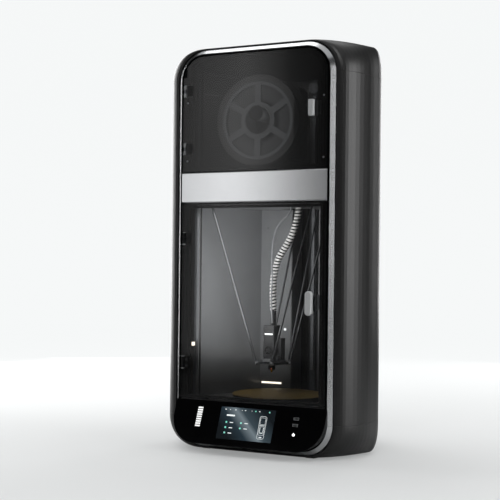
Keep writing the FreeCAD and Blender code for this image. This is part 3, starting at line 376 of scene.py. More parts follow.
class PRINTER_OT_stage(bpy.types.Operator):
    """Pale floor and backdrop, soft lights and the camera"""

    bl_idname = "printer.stage"
    bl_label = "Studio"

    def execute(self, context):
        sizes = context.scene.printer_sizes
        context.scene.view_settings.view_transform = "Standard"
        self.cyclorama(context)
        self.reflector(context)
        self.world(context)
        # Soft boxes: name, place, aim, width, height, watts.
        lamps = (
            ("key", (1.4, -4.2, 4.4), (0.0, 0.0, 0.6), 2.4, 2.0, 70),
            ("strip", (3.2, 0.10, 1.25), (0.3, 0.0, 0.85), 2.4, 2.6, 80),
            ("rear", (0.30, 3.6, 1.3), (0.3, 0.0, 0.8), 1.2, 2.2, 45),
            ("bezel_right", (2.9, -1.45, 1.5), (0.28, -0.2, 0.9), 0.4, 2.2, 0.3),
            ("bezel_left", (-3.0, 1.40, 1.2), (-0.28, -0.1, 0.75), 2.0, 2.8, 80),
            ("left_rear", (-2.2, 2.65, 1.2), (-0.35, 0.0, 0.75), 1.3, 2.6, 35),
            ("left", (-3.2, -0.35, 1.2), (-0.3, -0.1, 0.8), 1.2, 2.6, 44),
            ("top", (-0.4, 0.9, 4.2), (0.0, 0.0, 0.6), 3.0, 2.4, 38),
            ("chamber", (-0.10, -0.185, 0.58), (-0.13, 0.25, 0.58), 0.26, 0.44, 1.6),
            ("bay", (-0.15, -0.045, 1.26), (-0.18, 0.25, 1.05), 0.16, 0.06, 0.4),
            ("bay_front", (-0.01, -0.212, 1.105), (-0.01, 0.0, 1.105), 0.28, 0.30, 0.65),
        )
        for name, spot, aim, width, height, power in lamps:
            light = bpy.data.lights.new(name, "AREA")
            light.shape = "RECTANGLE"
            light.size, light.size_y, light.energy = width, height, power
            lamp = bpy.data.objects.new(name, light)
            lamp.location = spot
            lamp.rotation_euler = (Vector(aim) - Vector(spot)).to_track_quat("-Z", "Y").to_euler()
            lamp.visible_camera = False
            context.scene.collection.objects.link(lamp)

        lens = bpy.data.cameras.new("camera")
        lens.lens, lens.sensor_width, lens.shift_y = 80.0, 36.0, 0.028
        lens.clip_end = 60
        camera = bpy.data.objects.new("camera", lens)
        roll = Matrix.Rotation(math.radians(0.61), 4, "Z")
        aim = Matrix.Rotation(sizes.camera_turn, 4, "Z") @ Matrix.Rotation(math.pi / 2, 4, "X") @ roll
        camera.matrix_world = Matrix.Translation((1.6496, -3.4877, sizes.camera_height)) @ aim
        context.scene.collection.objects.link(camera)
        context.scene.camera = camera
        return {"FINISHED"}

    def cyclorama(self, context):
        """Round painted floor that curves up into a wall: a line, a quarter circle and a line, turned."""
        bend = np.linspace(0.08, np.pi / 2, 24)
        run = np.concatenate([np.linspace(0.0, 6.0, 30), 6.0 + 2.0 * np.sin(bend), np.full(8, 8.0)])
        rise = np.concatenate([np.zeros(30), 2.0 - 2.0 * np.cos(bend), np.linspace(2.5, 9.0, 8)])
        points, faces = lathe(np.stack([rise, run], axis=1), (0, 0, 0), (0, 0, 1), 72)
        # Emulsion paint, matt; what it adds for the lens alone keeps it pale without lighting the coats,
        # and the far wall is dark to all but the lens, as black cloth would be.
        material, tree, shader = new_surface("matt_emulsion_paint", Roughness=0.9, Specular_IOR_Level=0.0)
        shader.inputs["Emission Color"].default_value = linear("f4f6f6")
        seen = add_node(tree, "ShaderNodeLightPath").outputs["Is Camera Ray"]
        near, edge = 0.7, 3.2
        middle = add_node(tree, "ShaderNodeVectorMath", {0: place(tree)}, operation="LENGTH").outputs["Value"]
        # What it adds for the lens is weaker near the middle: a painted shadow round the cabinet's base.
        painted_shadow_falloff = add_node(
            tree, "ShaderNodeMapRange",
            {"Value": middle, "From Min": near, "From Max": edge, "To Min": 0.31, "To Max": 1.0},
        )
        lift = add_node(tree, "ShaderNodeMath", {0: seen, 1: painted_shadow_falloff.outputs["Result"]}, operation="MULTIPLY")
        tree.links.new(lift.outputs["Value"], shader.inputs["Emission Strength"])
        far = add_node(tree, "ShaderNodeMapRange", {"Value": middle, "From Min": near, "From Max": edge})
        mottled = ramp(tree, grain(tree, 1.5), ((0.35, "b3b4b4"), (0.65, "b6b7b7")))
        cloth = blend_colours(tree, far.outputs["Result"], mottled, "484848")
        tree.links.new(cloth, shader.inputs["Base Color"])
        mesh = bpy.data.meshes.new("cyclorama")
        mesh.from_pydata(points.tolist(), [], faces)
        mesh.shade_smooth()
        mesh.materials.append(material)
        floor = bpy.data.objects.new("cyclorama", mesh)
        context.scene.collection.objects.link(floor)

    def reflector(self, context):
        """Graded light panel at the front left, which the doors show as a soft sheen."""
        material = bpy.data.materials.new("graded_light_panel")
        material.use_nodes = True
        tree = material.node_tree
        tree.nodes.clear()
        glow = add_node(tree, "ShaderNodeEmission", {"Strength": 1.7})
        stops = ((0.0, "8a8a8a"), (0.28, "bcbcbc"), (0.60, "ffffff"), (0.80, "787878"), (1.0, "000000"))
        tree.links.new(ramp(tree, along(tree, "X", -2.7, -1.05), stops), glow.inputs["Color"])
        output = add_node(tree, "ShaderNodeOutputMaterial")
        tree.links.new(glow.outputs["Emission"], output.inputs["Surface"])
        mesh = bpy.data.meshes.new("light_panel")
        corners = [(-2.7, -3.5, 0.0), (-1.05, -3.5, 0.0), (-1.05, -3.5, 2.05), (-2.7, -3.5, 2.05)]
        mesh.from_pydata(corners, [], [(0, 1, 2, 3)])
        mesh.materials.append(material)
        panel = bpy.data.objects.new("light_panel", mesh)
        panel.visible_camera = False
        panel.visible_diffuse = False
        context.scene.collection.objects.link(panel)

    def world(self, context):
        """Dim surroundings near the horizon and a bright ceiling; seen directly, an even pale grey."""
        world = bpy.data.worlds.new("studio")
        context.scene.world = world
        world.use_nodes = True
        tree = world.node_tree
        background = tree.nodes["Background"]
        direction = add_node(tree, "ShaderNodeTexCoord").outputs["Generated"]
        height = add_node(tree, "ShaderNodeSeparateXYZ", {"Vector": direction})
        stops = ((0.0, "2a2b2c"), (0.30, "424445"), (0.62, "a4a6a8"), (1.0, "b8b8b8"))
        dim = ramp(tree, height.outputs["Z"], stops)
        seen = add_node(tree, "ShaderNodeLightPath").outputs["Is Camera Ray"]
        tree.links.new(blend_colours(tree, seen, dim, "f4f6f6"), background.inputs["Color"])


# ---------------------------------------------------------------- cabinet


class PRINTER_OT_cabinet(bpy.types.Operator):
    """Coats of the casing, bezel, band, frame and feet"""

    bl_idname = "printer.cabinet"
    bl_label = "Cabinet"

    def execute(self, context):
        colours = context.scene.printer_colours
        # Powder-coated shell, metallic charcoal: satin, with fine flake and a faint orange peel.
        coat, tree, shader = new_surface("powder_coated_steel", Metallic=0.75, IOR=1.5)
        vary_colour(tree, shader, grain(tree, 2.2 * MM, 2.0), "383838", colours.casing)
        vary_roughness(tree, shader, grain(tree, 90 * MM), 0.38, 0.43)
        emboss(tree, shader, grain(tree, 3.0 * MM, 2.0), 0.02 * MM, 0.5)
        shells = ("top_cap", "bottom_cap", "left_side", "right_side", "rear_panel")
        dress(coat, *("casing_" + shell for shell in shells))

        # Anodised aluminium, bead blasted: even and satin; the bezel's inner lip is coloured near black, a
        # painted shade.
        for name, nodes, painted_shade_lip in (
            ("anodised_aluminium", ("band_cover",), False),
            ("anodised_aluminium_rim", ("bezel_arches", "bezel_sides", "bezel_band_ends"), True),
        ):
            metal, tree, shader = new_surface(name, Metallic=1.0)
            # The grain is drawn coarser than the real grit so that it shows.
            bright = ramp(tree, grain(tree, 1.6 * MM, 2.0), ((0.35, "d2d4d6"), (0.65, colours.metal)))
            if painted_shade_lip:
                # Painted shade: the rim's inner lip goes near black behind the bright rim.
                lip = along(tree, "Y", BRIGHT_RIM + 0.2 * MM, BRIGHT_RIM - 0.2 * MM)
                bright = blend_colours(tree, lip, bright, "0c0d0e")
            tree.links.new(bright, shader.inputs["Base Color"])
            vary_roughness(tree, shader, grain(tree, 90 * MM), 0.20, 0.23)
            emboss(tree, shader, grain(tree, 1.8 * MM, 2.0), 0.01 * MM, 0.3)
            dress(metal, *nodes)

        # Black powder coat on the sheet frame and the base plates: matt, with a fine texture.
        black, tree, shader = new_surface("black_powder_coat")
        vary_colour(tree, shader, grain(tree, 2 * MM, 2.0), "0f1011", "17181a")
        vary_roughness(tree, shader, grain(tree, 20 * MM), 0.5, 0.62)
        emboss(tree, shader, grain(tree, 1.5 * MM, 3.0), 0.1 * MM)
        dress(black, "front_frame", "machine_plates")

        # Nitrile rubber: matt and slightly dusty.
        rubber = varied("nitrile_rubber", ("0b0b0c", "161617"), 4 * MM, (0.7, 0.85), 15 * MM)
        dress(rubber, "feet", "door_gaskets", "belts")
        return {"FINISHED"}


# ---------------------------------------------------------------- doors


def on_door(u, v, w):
    """Point on the doors' front plane: u to the right, v up, w outwards."""
    return np.stack([u + 0 * w, DOOR_FRONT - w, v + 0 * w], axis=1)


class PRINTER_OT_doors(bpy.types.Operator):
    """Smoked acrylic, hinges, screws and pulls"""

    bl_idname = "printer.doors"
    bl_label = "Doors"

    def execute(self, context):
        # Smoked acrylic: clear, gloss on both faces; the upper sheet is tinted much darker.
        for name, node, tint, see in (
            ("smoked_acrylic_dark", "upper_door_panel", "121313", 0.62),
            ("smoked_acrylic", "lower_door_glass", "1a1b1b", 0.26),
        ):
            glass, tree, shader = new_surface(name, Alpha=see, IOR=1.49)
            vary_colour(tree, shader, grain(tree, 0.3, 1.0), tint, tint)
            vary_roughness(tree, shader, grain(tree, 0.25, 1.0), 0.04, 0.07)
            dress(glass, node)
        # Brushed stainless steel: grain drawn out along the hinge.
        steel, tree, shader = new_surface("brushed_stainless_steel", Metallic=1.0)
        vary_colour(tree, shader, grain(tree, 0.8 * MM, 2.0, (1, 1, 0.08)), "5c5e60", "7c7e80")
        vary_roughness(tree, shader, grain(tree, 1 * MM, 2.0, (1, 1, 0.08)), 0.42, 0.52)
        dress(steel, "rails_and_idler_pins", "extruder_gear")
        for side in ("left", "right", "rear"):
            dress(steel, "carriage_" + side, "drive_pulley_" + side, "idler_pulley_" + side)
        # The same steel; the chamber door's knuckles are sleeved in black but for their ends.
        knuckles, tree, shader = new_surface("brushed_steel_sleeved", Metallic=0.5)
        silver = ramp(tree, grain(tree, 0.8 * MM, 2.0, (1, 1, 0.08)), ((0.35, "9a9c9e"), (0.65, "c8cacc")))
        reach, stops = 0.8, [(0.0, "000000")]
        for low, high in ((0.2745, 0.3115), (0.6925, 0.7295)):
            stops += [(low / reach, "ffffff"), (high / reach, "000000")]
        sleeved = ramp(tree, along(tree, "Z", 0.0, reach), stops, "CONSTANT")
        tree.links.new(blend_colours(tree, sleeved, silver, "0e0f10"), shader.inputs["Base Color"])
        vary_roughness(tree, shader, grain(tree, 1 * MM, 2.0, (1, 1, 0.08)), 0.26, 0.36)
        dress(knuckles, "hinge_brackets")
        # Black oxide on steel: the screws and leaves behind the glass.
        oxide = varied(
            "black_oxide_steel", ("0c0d0e", "161718"), 1.5 * MM, (0.4, 0.55), 6 * MM, detail=2.0, Metallic=0.5
        )
        dress(oxide, "lower_door_fittings", "motors")
        zinc = varied(
            "zinc_plated_screws", ("6d6f72", "8a8c8f"), 1.5 * MM, (0.35, 0.5), 3 * MM, detail=2.0, Metallic=1.0
        )
        dress(zinc, "upper_door_fittings")
        # Moulded ABS, pale grey: the two pulls.
        pull = varied("moulded_abs_grey", ("cacccd", "d4d6d7"), 3 * MM, (0.36, 0.48), 10 * MM)
        dress(pull, "lower_door_handle", "upper_door_handle")

        # Moulded covers over the hinge leaves, and a dark pad beside the upper pull: a painted shadow of the
        # pull.
        cover = varied("moulded_nylon_black", ("0b0c0d", "131415"), 2 * MM, (0.35, 0.5), 5 * MM)
        plates = []
        for low, high in ((0.996, 1.031), (1.191, 1.226)):
            outline = rounded_outline(-0.2385, (low + high) / 2, 9.5 * MM, (high - low) / 2, 1.5 * MM)
            plates.append(prism(outline, -0.4 * MM, 1.2 * MM, on_door))
        # Painted shadow: a dark plate to the right of the upper pull.
        pull_shadow_pad = rounded_outline(0.2265, 1.128, 6.0 * MM, 25 * MM, 2 * MM)
        plates.append(prism(pull_shadow_pad, -0.4 * MM, 0.9 * MM, on_door))
        new_piece("hinge_covers_and_pull_shadow", joined(plates), cover, "upper_door", smooth=False)
        # Hexagon sockets sunk in the chamber door's screws: short six-sided caps.
        sockets = []
        for z in (0.721, 0.701, 0.303, 0.282):
            centre = np.array([-0.243, DOOR_FRONT - 1.6 * MM, z])
            profile = [(0.5, 0), (0.5, 3.0), (0, 3.4), (-0.6, 3.4), (-0.6, 0)]
            sockets.append(lathe(np.array(profile) * MM, centre, (0, -1, 0), 6))
        new_piece("hinge_screw_caps", joined(sockets), cover, "lower_door", smooth=False)
        return {"FINISHED"}


# ---------------------------------------------------------------- chamber


class PRINTER_OT_chamber(bpy.types.Operator):
    """Chamber walls, bed, towers and lights"""

    bl_idname = "printer.chamber"
    bl_label = "Chamber"

    def execute(self, context):
        colours = context.scene.printer_colours
        # Grey coated sheet lining: darker towards the right, a painted shade, and black on the deck.
        lining, tree, shader = new_surface("coated_sheet_lining", Metallic=0.1)
        mottled = ramp(tree, grain(tree, 40 * MM), ((0.35, "8c8e90"), (0.65, "929496")))
        # Painted shade: the lining goes dark towards the right.
        right = along(tree, "X", 0.0, 0.16)
        wall = blend_colours(tree, right, mottled, "2c2d2e")
        rise = along(tree, "Z", 0.20, 0.34)
        tree.links.new(blend_colours(tree, rise, "444444", wall), shader.inputs["Base Color"])
        vary_roughness(tree, shader, grain(tree, 50 * MM), 0.30, 0.36)
        dress(lining, "chamber_panels")
        # Polyetherimide on spring steel: a golden, sandy sheet; the grit is drawn at 1.2 mm.
        sheet, tree, shader = new_surface("textured_pei_sheet", Metallic=0.25)
        vary_colour(tree, shader, grain(tree, 1.2 * MM, 4.0), "6c5826", colours.sheet)
        vary_roughness(tree, shader, grain(tree, 4 * MM), 0.36, 0.5)
        emboss(tree, shader, grain(tree, 1.2 * MM, 4.0), 0.1 * MM, 0.5)
        dress(sheet, "build_sheet")
        # Hard-anodised aluminium, black: the heater plate under the sheet.
        heater = varied(
            "hard_anodised_black", ("17181a", "222326"), 2 * MM, (0.4, 0.5), 10 * MM, Metallic=0.7
        )
        dress(heater, "heated_bed")
        # Extruded aluminium, natural anodised: fine lines along the profile.
        profile, tree, shader = new_surface("extruded_aluminium", Metallic=0.6)
        vary_colour(tree, shader, grain(tree, 1 * MM, 2.0, (1, 1, 0.03)), "3c3e40", "505255")
        vary_roughness(tree, shader, grain(tree, 1 * MM, 2.0, (1, 1, 0.03)), 0.5, 0.62)
        dress(profile, "towers", "effector_plate", "hot_end")
        dress(lamp_surface("lit_milky_cover", "fff3df", 2.4), "chamber_lights")
        # Polycarbonate diffuser, unlit: the shade under the head's front.
        shade = varied("frosted_polycarbonate", ("6b6d6e", "7a7c7d"), 3 * MM, (0.4, 0.5), 3 * MM)
        dress(shade, "head_light")
        # Epoxy circuit board.
        board = varied("epoxy_circuit_board", ("153a26", "20523a"), 6 * MM, (0.35, 0.55), 6 * MM)
        dress(board, "base_electronics")

        def on_lining(x, z, radius, height):
            """Low dome on the first face of the lining that a line from the front at (x, z) meets."""
            _, spot, normal, _ = NODES["chamber_panels"].ray_cast((x, -0.12, z), (0, 1, 0))
            return dome(np.array(spot), np.array(normal), radius, height, 16)

        # Two small round lamps and the lining's screws.
        glow = lamp_surface("lit_indicator_lens", "f4f6f8", 1.4)
        lamps = [on_lining(x, z, 5.0 * MM, 2.5 * MM) for x, z in ((-0.077, 0.390), (-0.013, 0.383))]
        new_piece("wall_lamps", joined(lamps), glow, "frame")
        right_spots = ((0.012, 0.395), (0.031, 0.358), (0.030, 0.302), (0.060, 0.404))
        spots = right_spots + ((-0.150, 0.320), (-0.150, 0.760))
        screws = [on_lining(x, z, 3.2 * MM, 1.4 * MM) for x, z in spots]
        pan = varied("nickel_plated_screw", ("5a5c5f", "77797c"), 1.5 * MM, (0.35, 0.5), 3 * MM, Metallic=0.9)
        new_piece("lining_screws", joined(screws), pan, "frame")
        return {"FINISHED"}


# ---------------------------------------------------------------- print head


def on_head(u, v, w):
    """Point on the head's front plane: u right of its middle, v the real height, w outwards."""
    front = box_of("head_shells")[0][1]
    return np.stack([HEAD_X + u + 0 * w, front - w, v + 0 * w], axis=1)


class PRINTER_OT_head(bpy.types.Operator):
    """Covers, trim and lamps of the print head, the rods and their ends"""

    bl_idname = "printer.head"
    bl_label = "Print head"

    def execute(self, context):
        # Moulded ABS, black: a fine spark-eroded texture.
        abs_black, tree, shader = new_surface("moulded_abs_black")
        vary_colour(tree, shader, grain(tree, 2 * MM), "1d1e20", "28292b")
        vary_roughness(tree, shader, grain(tree, 4 * MM), 0.38, 0.5)
        emboss(tree, shader, grain(tree, 1 * MM, 2.0), 0.06 * MM)
        dress(abs_black, "head_shells", "head_ducts", "extruder", "dryer_housing")
        # Glass-filled nylon, deep black: fan wheel, base inlet and console body.
        nylon = varied("glass_filled_nylon", ("0e0f10", "161718"), 1.5 * MM, (0.45, 0.6), 3 * MM)
        dress(nylon, "head_fan_rotor", "power_inlet", "console_housing")
        # Turned brass: rings of fine tool marks.
        brass = varied(
            "turned_brass", ("a67c2e", "c79a48"), 0.6 * MM, (0.2, 0.34), 2 * MM, detail=2.0,
            stretch=(1, 1, 6), Metallic=1.0,
        )
        dress(brass, "nozzle")
        # Pultruded carbon rod under lacquer: dark, with long fibres and a clear glint.
        rod = varied(
            "pultruded_carbon_rod", ("4c4e50", "626466"), 1 * MM, (0.3, 0.42), 2 * MM, detail=2.0,
            stretch=(1, 1, 0.05), Metallic=0.6, Coat_Weight=0.7, Coat_Roughness=0.2,
        )
        dress(rod, "arms")
        self.rod_ends()
        self.trim(abs_black)
        self.lamps()
        return {"FINISHED"}

    def rod_ends(self):
        """Rounded sockets over the rods' lower ball joints: a barrel profile about each joint's axis."""
        grey = varied("moulded_acetal_grey", ("6c6e70", "7c7e80"), 2 * MM, (0.3, 0.42), 4 * MM)
        swing = np.linspace(-1.35, 1.35, 11)
        barrel = np.stack([6.0 * np.sin(swing) / math.sin(1.35), 7.3 * np.cos(swing) ** 0.6], axis=1) * MM
        profile = np.concatenate([[[barrel[0, 0], 0]], barrel, [[barrel[-1, 0], 0]]])
        reach, half_spacing, height = 0.055, 0.0375, 0.288
        sockets = []
        for turn in np.radians([120, 240, 0]):
            outward = np.array([-math.sin(turn), math.cos(turn), 0])
            across = np.array([math.cos(turn), math.sin(turn), 0])
            for sign in (-1, 1):
                centre = np.array([HEAD_X, BED_Y, height]) + outward * reach + across * sign * half_spacing
                sockets.append(lathe(profile, centre, across, 20))
        new_piece("rod_end_sockets", joined(sockets), grey, "head")

    def trim(self, material):
        """Raised frame round the fan, screws at the cover's corners and a lip under the cap."""
        fan_height, lip_height = 0.330, 0.3795
        outer = rounded_outline(0, fan_height, 20.2 * MM, 20.2 * MM, 3 * MM)
        inner = rounded_outline(0, fan_height, 18.6 * MM, 18.6 * MM, 2.5 * MM)
        ring = frame_plate(outer, inner, -0.5 * MM, 0.9 * MM, on_head)
        lip_outline = rounded_outline(0, lip_height, 21.0 * MM, 1.0 * MM, 0.8 * MM)
        lip = prism(lip_outline, -0.5 * MM, 0.8 * MM, on_head)
        new_piece("head_trim", joined([ring, lip]), material, "head", smooth=False)
        steel = varied(
            "stainless_button_screw", ("7c7e81", "94969a"), 1 * MM, (0.3, 0.45), 2 * MM, Metallic=1.0
        )
        corner = 16.5 * MM
        across = np.array([-corner, -corner, corner, corner])
        upward = fan_height + np.array([-corner, corner, -corner, corner])
        spots = on_head(across, upward, np.full(4, 0.2 * MM))
        screws = [dome(spot, (0, -1, 0), 1.5 * MM, 0.7 * MM, 12) for spot in spots]
        new_piece("head_screws", joined(screws), steel, "head")

    def lamps(self):
        """Plain lit bar on the cap and a small warm lamp beside the nozzle."""
        bar = prism(rounded_outline(0, 0.3865, 15.0 * MM, 2.4 * MM, 1.2 * MM), -0.4 * MM, 0.7 * MM, on_head)
        white = lamp_surface("lit_white_bar", "f4f6f8", 1.6)
        new_piece("head_mark_bar", bar, white, "head", smooth=False)
        spot = np.array([HEAD_X + 4 * MM, BED_Y - 11.2 * MM, 0.2665])
        warm = lamp_surface("lit_warm_lens", "ff7a30", 1.0)
        new_piece("heater_lamp", dome(spot, (0, -1, 0), 1.4 * MM, 1.0 * MM, 12), warm, "head")


# ---------------------------------------------------------------- hoses


class PRINTER_OT_hoses(bpy.types.Operator):
    """Spiral-wrapped hose and the thin filament tube, from the bay's floor to the head"""

    bl_idname = "printer.hoses"
    bl_label = "Hoses"

    def execute(self, context):
        pitch = context.scene.printer_sizes.hose_pitch
        hose_y, tube_y = BED_Y + 14 * MM, BED_Y - 12 * MM
        hose_route = ((64, 826), (54, 760), (24, 700), (-14, 650), (-31, 585), (-34, 525), (-30, 466))
        tube_route = (
            (47, 826), (41, 800), (15, 781), (-11, 752), (-23, 700), (-26, 640), (-23, 580), (-27, 520),
            (-25, 470), (-22, 424),
        )
        # White polyethylene spiral over a dark bundle: the wrap is bright; the gaps between the turns are
        # coloured near black, partly painted shade in the grooves.
        wrap, tree, shader = new_surface("polyethylene_spiral_wrap")
        ridge = add_node(tree, "ShaderNodeAttribute", attribute_name="ridge").outputs["Fac"]
        tree.links.new(ramp(tree, ridge, ((0.25, "1a1b1c"), (0.55, "f2f2f0"))), shader.inputs["Base Color"])
        vary_roughness(tree, shader, grain(tree, 3 * MM), 0.32, 0.45)
        path, stops = read_route([(x * MM, hose_y, z * MM) for x, z in hose_route], pitch / 12)
        angle = np.linspace(0, 2 * np.pi, 24, endpoint=False)[None, :]
        # The wrap stands up where a wave of the pitch, advanced by the angle round the hose, is high.
        wave = 0.5 + 0.5 * np.cos(2 * np.pi * stops[:, None] / pitch - angle)
        height = np.clip((wave - 0.22) / 0.30, 0, 1)
        height = height * height * (3 - 2 * height)
        radii = (9.6 + 2.3 * height) * MM
        self.fit("spiral_hose", path, radii, height, wrap, "umbilical_hose", 0.024, "white_plastic")
        # Fluoropolymer tube: milky and slightly glossy.
        milky = varied(
            "ptfe_tube", ("8f9294", "a5a8aa"), 4 * MM, (0.25, 0.35), 4 * MM, Transmission_Weight=0.2, IOR=1.35
        )
        path, stops = read_route([(x * MM, tube_y, z * MM) for x, z in tube_route], 3 * MM)
        radii = np.full((len(stops), 14), 2.9 * MM)
        self.fit("feed_tube", path, radii, None, milky, "filament_tube", 0.0058, "white_plastic")
        return {"FINISHED"}

    def fit(self, name, path, radii, ridge, material, node, diameter, slot):
        piece = new_piece(name, tube_along(path, radii), material, None, stands_for=(node,))
        if ridge is not None:
            attribute = piece.data.attributes.new("ridge", "FLOAT", "POINT")
            attribute.data.foreach_set("value", ridge.ravel().astype(np.float32))
        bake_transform(piece)


# ---------------------------------------------------------------- filament bay


class PRINTER_OT_spool(bpy.types.Operator):
    """Spool, its wound filament and the axle's cap"""

    bl_idname = "printer.spool"
    bl_label = "Spool"

    def execute(self, context):
        low, high = box_of("spool")
        centre = (low + high) / 2
        radius = (high[0] - low[0]) / 2
        # Injection-moulded ABS, dark grey: the flange is darker outside its raised rim.
        flange, tree, shader = new_surface("moulded_abs_spool")
        axle = {"Vector": place(tree), "Location": (0, 0, -centre[2]), "Scale": (1, 0, 1)}
        offset = add_node(tree, "ShaderNodeMapping", axle)
        distance = add_node(tree, "ShaderNodeVectorMath", {0: offset.outputs["Vector"]}, operation="LENGTH")
        share = add_node(tree, "ShaderNodeMapRange", {"Value": distance.outputs["Value"], "From Max": radius})
        stops = ((0.0, "141516"), (0.345, "3a3c3e"), (0.84, "434547"), (0.87, "060607"), (1.0, "0b0b0c"))
        tree.links.new(ramp(tree, share.outputs["Result"], stops), shader.inputs["Base Color"])
        vary_roughness(tree, shader, grain(tree, 6 * MM), 0.38, 0.5)
        dress(flange, "spool")
        cap = varied("moulded_abs_cap", ("8a8c8e", "9a9c9e"), 3 * MM, (0.35, 0.5), 4 * MM)
        dress(cap, "spool_axle")

        # Rounded beads round the flange's rim, inside the rim and round the hub: a half circle carried round.
        beads = []
        swing = np.linspace(0, np.pi, 9)
        for bead_radius, half in ((radius - 3 * MM, 2.6), (0.1285, 1.8), (0.0500, 2.6)):
            profile = np.stack([half * 0.7 * np.sin(swing), half * np.cos(swing)], axis=1) * MM
            profile = np.concatenate([profile, [[-0.6 * MM, -half * MM], [-0.6 * MM, half * MM]]])
            profile[:, 1] += bead_radius
            beads.append(lathe(profile, (centre[0], low[1], centre[2]), (0, -1, 0), 96))
        new_piece("spool_beads", joined(beads), flange, "spool_body")

        # Wound filament: rounded ridges side by side, a half sine for each winding.
        wound = varied("wound_filament", ("16181a", "222426"), 3 * MM, (0.3, 0.42), 4 * MM)
        low, high = box_of("filament_coil")
        outer = (high[0] - low[0]) / 2
        across = np.linspace(0, high[1] - low[1], 97)
        bulge = np.abs(np.sin(np.pi * across / context.scene.printer_sizes.winding_pitch))
        outside = np.stack([across, outer - 1.6 * MM + 1.6 * MM * bulge], axis=1)
        core = 54.4 * MM
        profile = np.concatenate([outside, [[across[-1], core], [0, core]]])
        centre = (0.0, low[1], (low[2] + high[2]) / 2)
        coil = lathe(profile, centre, (0, 1, 0), 96)
        new_piece("filament_windings", coil, wound, "spool_body", stands_for=("filament_coil",))
        return {"FINISHED"}


# ---------------------------------------------------------------- console


